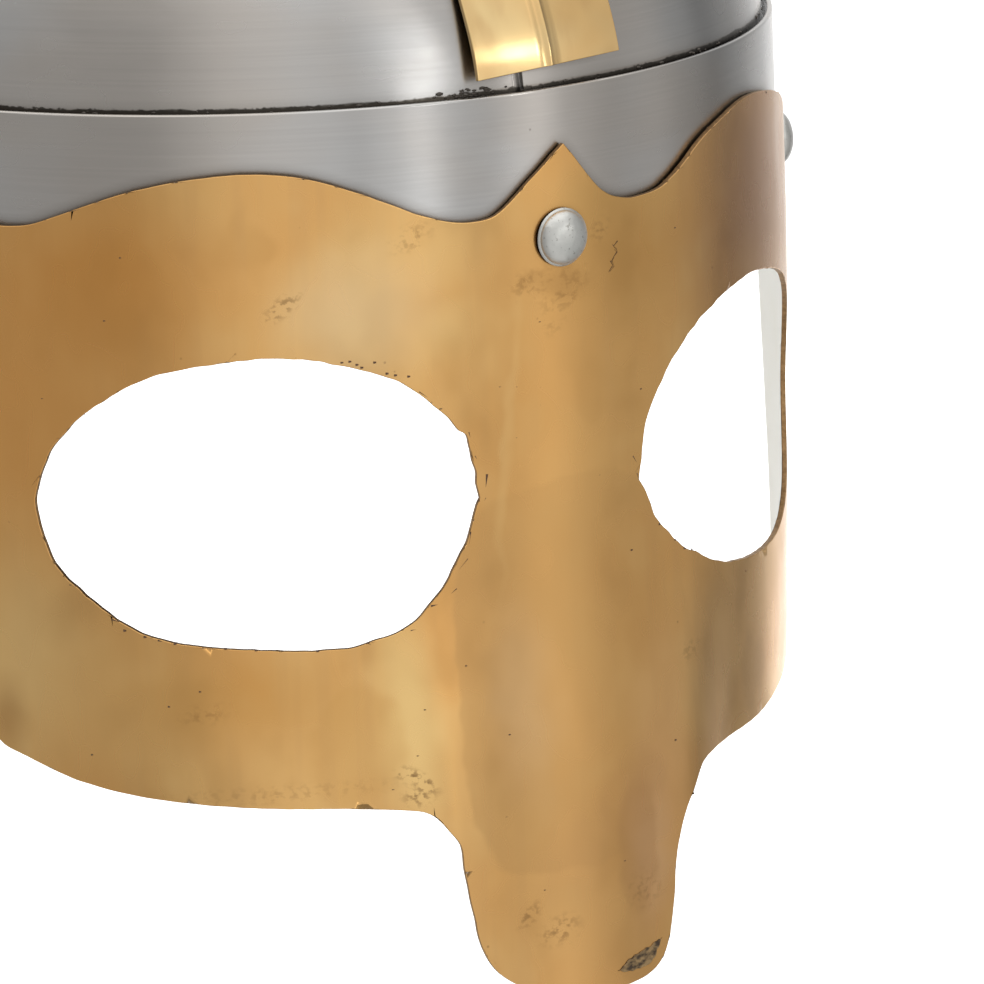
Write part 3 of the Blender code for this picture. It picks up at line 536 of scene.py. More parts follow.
def sooted_steel(finishes):
    """The same steel on the skull, black with weld scale just above the band's edge.

    The scale is a thin ragged line with a brown haze over it.
    """
    material, add, set_shader, colour, place = steel_surface("brushed_steel_sooted", finishes)
    height = add("ShaderNodeSeparateXYZ", {"Vector": place}).outputs["Z"]
    layers = (((60, 60, 60), 1.2, 3.1, 0.35, "#8A7C6E"), ((9, 9, 9), 1.0, 1.7, 0.9, "#47433D"),
              ((1.4, 1.4, 1.0), 0.9, 5.3, 0.9, "#33302C"))
    for sizes, reach, seed, depth, shade in layers:
        ragged = grain(add, place, sizes, 3, seed=seed)
        top = add("ShaderNodeMath", {0: ragged, 1: -2 * reach * MM, 2: height},
                  operation="MULTIPLY_ADD")
        start = BAND_HEIGHT - 0.62 * reach * MM
        share = add("ShaderNodeMapRange", {"Value": top, "From Min": start + 0.3 * MM,
                                           "From Max": start - 0.05 * MM, "To Max": depth},
                    interpolation_type="SMOOTHSTEP")
        colour = add("ShaderNodeMix", {MIX_SHARE: share, MIX_FIRST: colour,
                                       MIX_SECOND: opaque(shade)}, data_type="RGBA")
    # painted shade: the colour darkens towards grey-brown in crevices narrower than 3 mm
    set_shader({"Base Color": crevice_shaded(add, colour, 3.0 * MM, 0.7, "#4A443C")})
    return material


def brass_surface(name, finishes, clean, tarnished, patch, roughness):
    """Worn brass to build a material on; returns its parts, with the colour still open."""
    material, add, set_shader = new_material(name, Sheen_Weight=finishes.dust,
                                          Sheen_Roughness=0.22)
    place = add("ShaderNodeTexCoord").outputs["Object"]
    film = add("ShaderNodeMapRange", {"Value": grain(add, place, (patch, patch, patch), 2, 2.0),
                                      "From Min": 0.30, "From Max": 0.72, "To Max": 0.65},
               interpolation_type="SMOOTHSTEP")
    colour = add("ShaderNodeMix", {MIX_SHARE: film, MIX_FIRST: opaque(clean),
                                   MIX_SECOND: opaque(tarnished)}, data_type="RGBA")
    cloud = grain(add, place, (13, 13, 18), 2, seed=4.5)
    streak = grain(add, place, (4, 4, 60), 2, seed=8.0)
    for pattern, low, high, depth, shade in ((cloud, 0.50, 0.72, 0.30, finishes.brass_pale),
                                             (cloud, 0.48, 0.30, 0.27, linear("#B98A4E")),
                                             (streak, 0.45, 0.66, 0.16, linear("#C99F6C"))):
        share = add("ShaderNodeMapRange", {"Value": pattern, "From Min": low, "From Max": high,
                                           "To Max": depth}, interpolation_type="SMOOTHSTEP")
        colour = add("ShaderNodeMix", {MIX_SHARE: share, MIX_FIRST: colour,
                                       MIX_SECOND: opaque(shade)}, data_type="RGBA")
    # pits 0.3 to 0.6 mm wide
    cells = add("ShaderNodeTexVoronoi", {"Vector": place, "Scale": 1 / (9 * MM)})
    pits = add("ShaderNodeMapRange", {"Value": cells, "From Min": 0.038, "From Max": 0.016,
                                      "To Max": 0.55})
    colour = add("ShaderNodeMix", {MIX_SHARE: pits, MIX_FIRST: colour,
                                   MIX_SECOND: opaque("#7A5632")}, data_type="RGBA")
    rough = add("ShaderNodeMapRange", {
        "Value": cloud, "From Min": 0.3, "From Max": 0.7,
        "To Min": roughness - 0.05, "To Max": roughness + 0.06})
    bump = add("ShaderNodeBump", {"Height": cloud, "Distance": 0.05 * MM, "Strength": 1.0})
    set_shader({"Roughness": rough, "Normal": bump})
    return material, add, set_shader, colour, place


def strip_brass(finishes):
    """Rolled brass strip, polished and only lightly tarnished, so paler than the mask."""
    material, add, set_shader, colour, _ = brass_surface(
        "polished_brass_strip", finishes, finishes.strip_brass, finishes.brass, 22,
        finishes.strip_roughness)
    # painted shade: the colour darkens towards brown in crevices narrower than 1.2 mm
    set_shader({"Base Color": crevice_shaded(add, colour, 1.2 * MM, 0.6, "#6B4A28")})
    return material


def oval_share(add, sheet, oval, edge, depth, square=False):
    """The depth inside an oval on the flat sheet, and 0 outside it."""
    across, up, half_length, half_height, turn = oval
    local = add("ShaderNodeMapping", {
        "Vector": sheet, "Location": (across * MM, up * MM, 0),
        "Rotation": (0, 0, math.radians(turn)),
        "Scale": (half_length * MM, half_height * MM, 1)}, vector_type="TEXTURE")
    if square:
        local = add("ShaderNodeVectorMath", {0: local, 1: local}, operation="MULTIPLY")
    reach = add("ShaderNodeVectorMath", {0: local}, operation="LENGTH")
    return add("ShaderNodeMapRange", {"Value": reach, "From Min": 1 + edge, "From Max": 1 - edge,
                                      "To Max": depth}, interpolation_type="SMOOTHSTEP")


def mask_brass(finishes):
    """Cartridge-brass sheet, once polished, now worn.

    Orange-brown film in broad patches, the edge of a wiped film down the nose guard, and
    stains and flecks where the photo has them.
    """
    material, add, set_shader, colour, place = brass_surface(
        "worn_cartridge_brass", finishes, finishes.brass, finishes.brass_orange, 34,
        finishes.brass_roughness)
    sheet = add("ShaderNodeUVMap", uv_map="sheet")
    shift = add("ShaderNodeVectorMath", {
        0: grain(add, place, (16, 16, 16), 2, seed=9.0).outputs["Color"], 1: (0.5, 0.5, 0.5)},
        operation="SUBTRACT")
    wavy = add("ShaderNodeVectorMath", {0: shift, 1: (9 * MM, 9 * MM, 0), 2: sheet},
               operation="MULTIPLY_ADD")
    film = add("ShaderNodeMath", {0: oval_share(add, wavy, WIPED_FILM, 0.05, 1.0, True),
                                  1: oval_share(add, sheet, WIPED_FILM_FADE, 0.9, 0.62)},
               operation="MULTIPLY")
    colour = add("ShaderNodeMix", {MIX_SHARE: film, MIX_FIRST: colour,
                                   MIX_SECOND: opaque("#BE9560")}, data_type="RGBA")
    for *oval, edge, shade, depth in MASK_FILMS:
        colour = add("ShaderNodeMix", {
            MIX_SHARE: oval_share(add, wavy, oval, edge, depth), MIX_FIRST: colour,
            MIX_SECOND: opaque(shade)}, data_type="RGBA")
    flecks = add("ShaderNodeMapRange", {"Value": grain(add, place, (1.4, 1.4, 1.1), 3, seed=12.0),
                                        "From Min": 0.48, "From Max": 0.62})
    for *oval, shade, depth in MASK_STAINS:
        share = add("ShaderNodeMath", {0: oval_share(add, sheet, oval, 0.9, depth), 1: flecks},
                    operation="MULTIPLY")
        colour = add("ShaderNodeMix", {MIX_SHARE: share, MIX_FIRST: colour,
                                       MIX_SECOND: opaque(shade)}, data_type="RGBA")
    # painted shade: the colour darkens towards brown in crevices narrower than 1.6 mm
    set_shader({"Base Color": crevice_shaded(add, colour, 1.6 * MM, 0.45, "#5E4026")})
    return material


def inner_brass_with_painted_reflection(finishes):
    """Inner face of the mask: never polished, dull brass that towards its ends turns to a
    near-white painted reflection of the bright background.
    """
    material, add, set_shader = new_material("inner_brass_with_painted_reflection", Metallic=0.5,
                                          Sheen_Weight=finishes.dust)
    place = add("ShaderNodeTexCoord").outputs["Object"]
    cloud = grain(add, place, (14, 14, 14), 4)
    dull = add("ShaderNodeMix", {MIX_SHARE: cloud, MIX_FIRST: opaque("#E4CF9E"),
                                 MIX_SECOND: opaque("#CDB07A")}, data_type="RGBA")
    # painted reflection: near-white colour that stands in for the bright background seen at a
    # glancing angle
    white = add("ShaderNodeMix", {MIX_SHARE: cloud, MIX_FIRST: opaque("#FDFCF6"),
                                  MIX_SECOND: opaque("#F4F1E4")}, data_type="RGBA")
    sheet = add("ShaderNodeSeparateXYZ", {"Vector": add("ShaderNodeUVMap", uv_map="sheet")})
    reach = add("ShaderNodeMath", {0: sheet}, operation="ABSOLUTE")
    reach = add("ShaderNodeMath", {0: cloud, 1: 50 * MM, 2: reach}, operation="MULTIPLY_ADD")
    # share of the painted reflection, growing unevenly towards the inner face's ends
    ends = add("ShaderNodeMapRange", {"Value": reach, "From Min": 40 * MM, "From Max": 140 * MM},
               interpolation_type="SMOOTHSTEP")
    set_shader({
        "Base Color": add("ShaderNodeMix", {MIX_SHARE: ends, MIX_FIRST: dull,
                                            MIX_SECOND: white}, data_type="RGBA"),
        "Roughness": add("ShaderNodeMapRange", {"Value": cloud, "To Min": 0.25, "To Max": 0.45})})
    return material


def snipped_edge():
    """Cut edge of the brass: rough from the snips and gone brown."""
    material, add, set_shader = new_material("snipped_brass_edge")
    place = add("ShaderNodeTexCoord").outputs["Object"]
    marks = grain(add, place, (0.9, 0.9, 0.9), 3)
    set_shader({
        "Base Color": add("ShaderNodeMix", {MIX_SHARE: marks, MIX_FIRST: opaque("#5A4028"),
                                            MIX_SECOND: opaque("#C9A272")}, data_type="RGBA"),
        "Roughness": 0.42})
    return material


def rivet_aluminium(finishes):
    """Soft aluminium, set with a hammer: dull, scuffed and pitted."""
    material, add, set_shader = new_material("hammered_aluminium", Sheen_Weight=finishes.dust)
    place = add("ShaderNodeTexCoord").outputs["Object"]
    scuff = grain(add, place, (2.6, 2.6, 2.6), 4)
    pits = add("ShaderNodeMapRange", {"Value": grain(add, place, (0.7, 0.7, 0.7), 2, seed=3.0),
                                      "From Min": 0.64, "From Max": 0.70, "To Max": 0.55})
    colour = add("ShaderNodeMix", {MIX_SHARE: scuff, MIX_FIRST: opaque(finishes.aluminium),
                                   MIX_SECOND: opaque("#B2B4AF")}, data_type="RGBA")
    colour = add("ShaderNodeMix", {MIX_SHARE: pits, MIX_FIRST: colour,
                                   MIX_SECOND: opaque("#77736A")}, data_type="RGBA")
    bump = add("ShaderNodeBump", {"Height": scuff, "Distance": 0.16 * MM, "Strength": 1.0})
    # painted shade: the colour darkens towards brown in crevices narrower than 1.2 mm
    set_shader({
        "Base Color": crevice_shaded(add, colour, 1.2 * MM, 0.6, "#6E5C44"), "Normal": bump,
        "Roughness": add("ShaderNodeMapRange", {"Value": scuff, "To Min": 0.26, "To Max": 0.48})})
    return material


def weld_scale():
    """Black iron oxide left by a weld: crusty and dull."""
    material, add, set_shader = new_material("weld_scale", Metallic=0.5)
    place = add("ShaderNodeTexCoord").outputs["Object"]
    crust = grain(add, place, (0.6, 0.6, 0.6), 3)
    set_shader({
        "Base Color": add("ShaderNodeMix", {MIX_SHARE: crust, MIX_FIRST: opaque("#2E2B27"),
                                            MIX_SECOND: opaque("#6A625A")}, data_type="RGBA"),
        "Roughness": 0.55,
        "Normal": add("ShaderNodeBump", {"Height": crust, "Distance": 0.1 * MM})})
    return material


def nick_oxide():
    """Dark brown oxide and shade in the snips' marks and the pits."""
    material, add, set_shader = new_material("nick_oxide", Metallic=0.3, Roughness=0.7)
    place = add("ShaderNodeTexCoord").outputs["Object"]
    spots = grain(add, place, (0.5, 0.5, 0.5), 2)
    set_shader({"Base Color": add("ShaderNodeMix", {
        MIX_SHARE: spots, MIX_FIRST: opaque("#3A2A1E"), MIX_SECOND: opaque("#6A4C34")},
        data_type="RGBA")})
    return material


def flake_tarnish():
    """Grey-brown crust of old tarnish, torn so that brass shows through."""
    material, add, set_shader = new_material("flaked_tarnish", Metallic=0.6, Roughness=0.5)
    place = add("ShaderNodeTexCoord").outputs["Object"]
    torn = add("ShaderNodeMapRange", {"Value": grain(add, place, (1.6, 1.6, 0.9), 4),
                                      "From Min": 0.40, "From Max": 0.60})
    set_shader({"Base Color": add("ShaderNodeMix", {
        MIX_SHARE: torn, MIX_FIRST: opaque("#463829"), MIX_SECOND: opaque("#947A54")},
        data_type="RGBA")})
    return material


def shared(make, *inputs):
    """A finish made once and shared by the pieces that have it."""
    if make not in FINISHES_MADE:
        FINISHES_MADE[make] = make(*inputs)
    return FINISHES_MADE[make]


def helmet_collection():
    """The collection that holds the finished pieces."""
    found = bpy.data.collections.get("spangenhelm_helmet")
    if found is None:
        found = bpy.data.collections.new("spangenhelm_helmet")
        bpy.context.scene.collection.children.link(found)
    return found


def add_piece(piece, bm, material, smooth_angle=40):
    """Object for a finished bmesh, which is freed; it rides on the helmet's one body."""
    mesh = bpy.data.meshes.new(piece.name)
    bm.to_mesh(mesh)
    bm.free()
    mesh.materials.append(material)
    mesh.shade_smooth()
    mesh.set_sharp_from_angle(angle=math.radians(smooth_angle))
    body = bpy.data.objects.new(piece.name, mesh)
    helmet_collection().objects.link(body)
    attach(body, "root")
    if piece.replaced:
        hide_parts(*piece.replaced)
    return body


def round_corners(body, rounding, segments=3):
    """Round the cut edges of a sheet."""
    edge = body.modifiers.new("edge", "BEVEL")
    edge.width = rounding
    edge.segments = segments
    edge.limit_method = "ANGLE"
    edge.angle_limit = SHARP_CORNER
    edge.use_clamp_overlap = False
    edge.harden_normals = True


def add_wall(body, thickness, rounding, segments=3):
    """Give a shell its wall, inwards from the modelled face, and round its cut edges."""
    wall = body.modifiers.new("wall", "SOLIDIFY")
    wall.thickness = thickness
    wall.offset = -1
    wall.use_even_offset = True
    round_corners(body, rounding, segments)
    return wall


def smooth_step(share):
    """Ease from 0 to 1 as the share goes from 0 to 1."""
    share = min(max(share, 0.0), 1.0)
    return share * share * (3 - 2 * share)


def stray(place, sheets, seed):
    """Shallow dents of a hand-bent sheet at a place, as a distance off its true curve."""
    scaled = Vector(place) / sheets.wave_length + Vector((seed, seed, seed))
    return sheets.wave * (noise.noise(scaled) + 0.35 * noise.noise(scaled * 2.6))


def curve_through(rows, spacing):
    """Closed smooth curve through rows of across, up and corner, as points a spacing apart."""
    places = [Vector(row[:2]) * MM for row in rows]
    count = len(places)
    found = []
    for i, start in enumerate(places):
        before, end, after = places[i - 1], places[(i + 1) % count], places[(i + 2) % count]
        length = (end - start).length
        leave = (end - start) if rows[i][2] else (
            (end - before) * length / (length + (start - before).length))
        arrive = (end - start) if rows[(i + 1) % count][2] else (
            (after - start) * length / (length + (after - end).length))
        steps = max(1, round(length / spacing))
        for step in range(steps):
            t = step / steps
            found.append(start * (2 * t ** 3 - 3 * t ** 2 + 1) + leave * (t ** 3 - 2 * t ** 2 + t)
                         + end * (3 * t ** 2 - 2 * t ** 3) + arrive * (t ** 3 - t ** 2))
    return found


def cut_outline(rows, cut, seed):
    """Outline through rows, its points moved sideways a little as snips and a file leave them."""
    points = curve_through(rows, cut.step)
    moved = []
    for i, point in enumerate(points):
        along = (points[(i + 1) % len(points)] - points[i - 1]).normalized()
        sideways = Vector((-along.y, along.x))
        ripple = noise.noise(Vector((point.x / cut.length, point.y / cut.length, seed)))
        moved.append(point + sideways * cut.depth * ripple)
    return moved


def cut_blank(loops, spacing):
    """Flat sheet inside the first loop and outside the others, scored into a fine grid."""
    bm = bmesh.new()
    edges = []
    for loop in loops:
        verts = [bm.verts.new((point.x, point.y, 0)) for point in loop]
        edges += [bm.edges.new(pair) for pair in zip(verts, verts[1:] + verts[:1])]
    bmesh.ops.triangle_fill(bm, edges=edges, use_beauty=True, use_dissolve=False,
                            normal=(0, 0, 1))
    bmesh.ops.dissolve_limit(bm, angle_limit=math.radians(1), verts=[], edges=bm.edges[:],
                             delimit=set())
    low = Vector(min(vert.co[i] for vert in bm.verts) for i in range(2))
    high = Vector(max(vert.co[i] for vert in bm.verts) for i in range(2))
    for axis, normal in ((0, Vector((1, 0, 0))), (1, Vector((0, 1, 0)))):
        count = round((high[axis] - low[axis]) / spacing)
        for i in range(1, count):
            place = normal * (low[axis] + (high[axis] - low[axis]) * i / count)
            geometry = bm.verts[:] + bm.edges[:] + bm.faces[:]
            bmesh.ops.bisect_plane(bm, geom=geometry, plane_co=place, plane_no=normal,
                                   dist=0.005 * MM)
    return bm


def keep_sheet_places(bm):
    """Store each corner's place on the flat sheet as a UV map in metres."""
    layer = bm.loops.layers.uv.new("sheet")
    for face in bm.faces:
        for loop in face.loops:
            loop[layer].uv = loop.vert.co.xy


def oval_table(half_width, half_depth):
    """Arc lengths from the front centre of an oval, and the angles that they belong to."""
    angles = np.linspace(-math.pi, math.pi, 2881)
    x, y = half_width * np.sin(angles), -half_depth * np.cos(angles)
    steps = np.hypot(np.diff(x), np.diff(y))
    lengths = np.concatenate([[0.0], np.cumsum(steps)])
    return lengths - np.interp(0.0, angles, lengths), angles


MASK_FACE = MASK_STAND_OFF + MASK_THICKNESS
MASK_LENGTHS, MASK_ANGLES = oval_table(BAND_HALF_WIDTH + MASK_FACE, BAND_HALF_DEPTH + MASK_FACE)


def mask_point(across, height, depth):
    """Where a point of the flat mask lies once the mask is bent round the band."""
    angle = float(np.interp(across, MASK_LENGTHS, MASK_ANGLES))
    below = max(0.0, -height)
    taper = 1 - MASK_TAPER * below ** 2 / (below + TAPER_EASE)
    out = MASK_STAND_OFF + depth
    bow = NASAL_BOW * smooth_step((BOW_START - height) / (BOW_START - BOW_FULL))
    bow *= 1 - smooth_step((abs(across) - NASAL_HALF_WIDTH) / BOW_FADE_ACROSS)
    x = taper * (BAND_HALF_WIDTH + out) * math.sin(angle)
    y = -taper * (BAND_HALF_DEPTH + out) * math.cos(angle)
    return Vector((x, y - bow, height))


def mask_axis(across, height):
    """Seat of a rivet on the mask's outer face, and its outward direction."""
    face = mask_point(across, height, MASK_THICKNESS)
    return face, (face - mask_point(across, height, 0)).normalized()


def make_mask(sheets, finishes):
    """Spectacle mask: cut from a flat sheet with snips, then bent."""
    outer = MASK_TOP + MASK_LEFT_SIDE + MASK_RIGHT_SIDE
    bm = cut_blank([cut_outline(outer, MASK_CUT, 0.0), cut_outline(EYE_RIGHT, EYE_CUT, 4.0),
                    cut_outline(EYE_LEFT, EYE_CUT, 5.0)], sheets.spacing)
    keep_sheet_places(bm)
    for vertex in bm.verts:
        across, height, _ = vertex.co
        free = smooth_step((BAND_HEIGHT / 2 - height) / BAND_HEIGHT)
        off = free * stray((across, height, 0), sheets, 3.0)
        vertex.co = mask_point(across, height, MASK_THICKNESS + off)
    face_outwards(bm)
    body = add_piece(Piece("face_mask_sheet", "brass", ["face_mask"]), bm,
                     shared(mask_brass, finishes), 60)
    body.data.materials.append(shared(inner_brass_with_painted_reflection, finishes))
    body.data.materials.append(shared(snipped_edge))
    wall = add_wall(body, MASK_THICKNESS, sheets.rounding, 2)
    wall.material_offset = 1
    wall.material_offset_rim = 2
    return body


def face_outwards(bm):
    """Turn an open shell's faces one way, away from the helmet's axis."""
    bmesh.ops.recalc_face_normals(bm, faces=bm.faces)
    first = max(bm.faces, key=lambda face: face.calc_center_median().xy.length)
    if first.normal.dot(first.calc_center_median()) < 0:
        bmesh.ops.reverse_faces(bm, faces=bm.faces)


def add_sliver(bm, start, end, width, pointed=0.1):
    """Three-sided sliver that lies on the mask, in flat millimetres, broad at its start."""
    line = Vector(end) - Vector(start)
    side = Vector((-line.y, line.x)).normalized()
    sliver = bmesh.ops.create_cone(bm, cap_ends=True, segments=3, radius1=0.5,
                                   radius2=0.5 * pointed, depth=1.0)
    for vertex in sliver["verts"]:
        flat = Vector(start) + line * (vertex.co.z + 0.5) + side * vertex.co.x * width
        vertex.co = mask_point(flat.x * MM, flat.y * MM,
                               MASK_THICKNESS + vertex.co.y * MARK_HEIGHT)


def make_nicks():
    """Marks that the snips left beside the eye openings, and pits in the sheet."""
    bm = bmesh.new()
    for *places, width in SNIP_MARKS:
        add_sliver(bm, places[:2], places[2:], width)
    for places, width in ((SNIP_DOTS, 0.55), (PITS, 0.42)):
        for across, up in places:
            add_sliver(bm, (across - width / 2, up), (across + width / 2, up), width, 0.6)
    bmesh.ops.recalc_face_normals(bm, faces=bm.faces)
    return add_piece(Piece("mask_nicks", "brass", []), bm, shared(nick_oxide), 60)


def make_scratch(studio):
    """Scribed scratch beside the front rivet, in short strokes."""
    draw = random.Random(studio.random_seed)
    bm = bmesh.new()
    for start, end in zip(SCRATCH, SCRATCH[1:]):
        for _ in range(3):
            shift = Vector((draw.uniform(-0.34, 0.34), draw.uniform(-0.3, 0.3)))
            add_sliver(bm, Vector(start) + shift, Vector(end) + shift * 0.5,
                       draw.uniform(0.07, 0.15), 0.4)
    bmesh.ops.recalc_face_normals(bm, faces=bm.faces)
    return add_piece(Piece("mask_scratch", "brass", []), bm, shared(nick_oxide), 60)


def make_flake():
    """Torn flake of tarnish at the tip of the nose guard."""
    bm = cut_blank([cut_outline(FLAKE, FLAKE_CUT, 2.0)], 2 * MM)
    for vertex in bm.verts:
        vertex.co = mask_point(vertex.co.x, vertex.co.y, MASK_THICKNESS)
    face_outwards(bm)
    bmesh.ops.solidify(bm, geom=bm.faces[:], thickness=-MARK_HEIGHT)
    return add_piece(Piece("mask_flake", "brass", []), bm, shared(flake_tarnish), 60)


def make_band(sheets, finishes):
    """Brow band: an upright oval hoop."""
    bm = bmesh.new()
    around = 2 * math.pi * BAND_HALF_DEPTH
    bmesh.ops.create_circle(bm, segments=round(around / sheets.spacing / 4) * 4, radius=1.0)
    bmesh.ops.scale(bm, verts=bm.verts, vec=(BAND_HALF_WIDTH, BAND_HALF_DEPTH, 1))
    rows = round(BAND_HEIGHT / (2 * sheets.spacing))
    rim = bm.edges[:]
    for _ in range(rows):
        wall = bmesh.ops.extrude_edge_only(bm, edges=rim)
        rim = [item for item in wall["geom"] if isinstance(item, bmesh.types.BMEdge)
               and all(len(vert.link_edges) < 4 for vert in item.verts)]
        upper = {vert for edge in rim for vert in edge.verts}
        bmesh.ops.translate(bm, verts=list(upper), vec=(0, 0, BAND_HEIGHT / rows))
    for vertex in bm.verts:
        off = stray(vertex.co, sheets, 7.0)
        vertex.co.xy -= vertex.co.xy.normalized() * abs(off) * BAND_DENTS
    face_outwards(bm)
    body = add_piece(Piece("brow_band_sheet", "steel", ["brow_band"]), bm,
                     shared(brushed_steel, finishes))
    add_wall(body, BAND_THICKNESS, sheets.band_rounding)
    return body


def keep_side(bm, point, normal):
    """Cut a shell with a plane and keep the side that the normal points to."""
    geometry = bm.verts[:] + bm.edges[:] + bm.faces[:]
    bmesh.ops.bisect_plane(bm, geom=geometry, plane_co=point, plane_no=normal,
                           clear_inner=True, dist=0.001 * MM)


def make_plate(name, side_x, side_y, sheets, finishes):
    """One quarter of the skull, with a skirt that stands inside the band."""
    bm = bmesh.new()
    around = 2 * math.pi * SKULL_HALF_DEPTH
    segments = round(around / sheets.spacing / 4) * 4
    bmesh.ops.create_uvsphere(bm, u_segments=segments, v_segments=segments // 2, radius=1.0)
    bmesh.ops.scale(bm, verts=bm.verts, vec=(SKULL_HALF_WIDTH, SKULL_HALF_DEPTH, SKULL_RISE))
    bmesh.ops.translate(bm, verts=bm.verts, vec=(0, 0, EQUATOR))
    keep_side(bm, Vector((0, 0, EQUATOR)), Vector((0, 0, 1)))
    rim = [edge for edge in bm.edges if edge.is_boundary]
    skirt = bmesh.ops.extrude_edge_only(bm, edges=rim)
    lower = [item for item in skirt["geom"] if isinstance(item, bmesh.types.BMVert)]
    bmesh.ops.translate(bm, verts=lower, vec=(0, 0, SKIRT_BOTTOM - EQUATOR))
    seam = Vector((SEAM_ACROSS, 0, 0))
    for normal in (Vector((side_x, 0, 0)), Vector((0, side_y, 0))):
        keep_side(bm, seam + normal * sheets.seam_gap / 2, normal)
    for vertex in bm.verts:
        free = smooth_step((vertex.co.z - BAND_HEIGHT) / SKULL_DENT_EASE)
        outward = Vector((vertex.co.x, vertex.co.y, vertex.co.z - EQUATOR)).normalized()
        vertex.co -= outward * free * abs(stray(vertex.co, sheets, 5.0))
    face_outwards(bm)
    node = f"skull_plate_{name}"
    body = add_piece(Piece(f"{node}_sheet", "steel", [node]), bm,
                     shared(sooted_steel, finishes))
    add_wall(body, SKULL_THICKNESS, SKULL_ROUNDING)
    return body


class Meridian:
    """Line up the skull's outer face, in the upright plane of one strip."""

    def __init__(self, outward, half_span):
        self.outward = Vector(outward)
        self.half_span = half_span
        start = math.asin((BAND_HEIGHT + STRIP_ABOVE_BAND - EQUATOR) / SKULL_RISE)
        end = STRIP_WIDTH / 2 + FIT_GAP
        self.angles = np.linspace(0.0, math.acos(end / half_span), 721)
        places = np.array([self.place(angle)[:] for angle in self.angles])
        steps = np.linalg.norm(np.diff(places, axis=0), axis=1)
        lengths = np.concatenate([[0.0], np.cumsum(steps)])
        self.lengths = lengths - np.interp(start, self.angles, lengths)
        self.length = float(self.lengths[-1])

    def place(self, angle):
        """Point on the skull's outer face."""
        rise = Vector((0, 0, EQUATOR + SKULL_RISE * math.sin(angle)))
        return self.outward * (self.half_span * math.cos(angle)) + rise

    def frame(self, distance):
        """Point, direction across, and outward direction at a distance up the strip."""
        angle = float(np.interp(distance, self.lengths, self.angles))
        along = (self.outward * (-self.half_span * math.sin(angle))
                 + Vector((0, 0, SKULL_RISE * math.cos(angle)))).normalized()
        across = Vector((0, 0, 1)).cross(self.outward)
        return self.place(angle), across, across.cross(along)

    def distance_at(self, from_axis):
        """Distance up the strip of the point that lies this far from the axis."""
        angle = math.acos(from_axis / self.half_span)
        return float(np.interp(angle, self.angles, self.lengths))

    def strip_point(self, across, distance, depth):
        """Where a point of the flat strip lies once the strip is bent over the skull."""
        point, sideways, normal = self.frame(distance)
        return point + sideways * across + normal * (FIT_GAP + depth)


STRIPS = {
    "front": (Meridian((0, -1, 0), SKULL_HALF_DEPTH), FRONT_STRIP_SKEW, FRONT_STRIP_LIFT),
    "back": (Meridian((0, 1, 0), SKULL_HALF_DEPTH), 0.0, 0.0),
    "left": (Meridian((1, 0, 0), SKULL_HALF_WIDTH), 0.0, 0.0),
    "right": (Meridian((-1, 0, 0), SKULL_HALF_WIDTH), 0.0, 0.0),
}


def make_strip(side, sheets, finishes):
    """Strip with a ridge along its middle, bent over the skull."""
    meridian, skew, lift = STRIPS[side]
    bm = bmesh.new()
    columns = 2 * round(STRIP_WIDTH / STRIP_COLUMN / 2)
    rows = round(meridian.length / sheets.spacing)
    bmesh.ops.create_grid(bm, x_segments=columns, y_segments=rows, size=0.5)
    bmesh.ops.translate(bm, verts=bm.verts, vec=(0, 0.5, 0))
    bmesh.ops.scale(bm, verts=bm.verts, vec=(STRIP_WIDTH, meridian.length, 1))
    keep_sheet_places(bm)
    flat_from = meridian.distance_at(DISC_RADIUS + FIT_GAP)
    for vertex in bm.verts:
        across, distance, _ = vertex.co
        distance += (1 - smooth_step(distance / SKEW_FADE)) * skew * across / STRIP_WIDTH
        fade = smooth_step((flat_from - distance) / RIDGE_FADE)
        share = min(1.0, abs(across) / (sheets.ridge_width / 2))
        ridge = sheets.ridge_height * 0.5 * (1 + math.cos(math.pi * share)) * fade
        fold = math.tan(sheets.strip_fold) * abs(across) * fade
        wave = Vector((across, distance, meridian.outward.x)) / sheets.strip_wave_length
        off = sheets.strip_wave * noise.noise(wave) * fade
        off += lift * (1 - smooth_step(distance / LIFT_FADE))
        vertex.co = meridian.strip_point(across, distance, STRIP_THICKNESS + ridge - fold + off)
    face_outwards(bm)
    node = f"strip_{side}"
    body = add_piece(Piece(f"{node}_sheet", "brass", [node]), bm,
                     shared(strip_brass, finishes))
    add_wall(body, STRIP_THICKNESS, sheets.rounding)
    return body


def disc_height(radius):
    """Height of the crown disc's lower face at a distance from the axis."""
    end = STRIP_WIDTH / 2 + FIT_GAP
    corner = math.hypot(STRIP_WIDTH / 2, end)
    skull = EQUATOR + SKULL_RISE * math.sqrt(1 - (end / SKULL_HALF_DEPTH) ** 2)
    tilt = SKULL_RISE * end / SKULL_HALF_WIDTH ** 2
    strip_top = skull + (FIT_GAP + STRIP_THICKNESS) * math.sqrt(1 + tilt ** 2)
    centre = strip_top + FIT_GAP + DISC_DISH * (corner / DISC_RADIUS) ** 2
    return centre - DISC_DISH * (radius / DISC_RADIUS) ** 2


def turned(profile, steps):
    """Closed shape turned about +Z from a profile that starts and ends on the axis."""
    bm = bmesh.new()
    points = [bm.verts.new((radius, 0, height)) for radius, height in profile]
    edges = [bm.edges.new(pair) for pair in zip(points, points[1:])]
    bmesh.ops.spin(bm, geom=points + edges, cent=(0, 0, 0), axis=(0, 0, 1), dvec=(0, 0, 0),
                   angle=2 * math.pi, steps=steps, use_merge=True, use_duplicate=False)
    bmesh.ops.remove_doubles(bm, verts=bm.verts, dist=0.01 * MM)
    bmesh.ops.recalc_face_normals(bm, faces=bm.faces)
    return bm


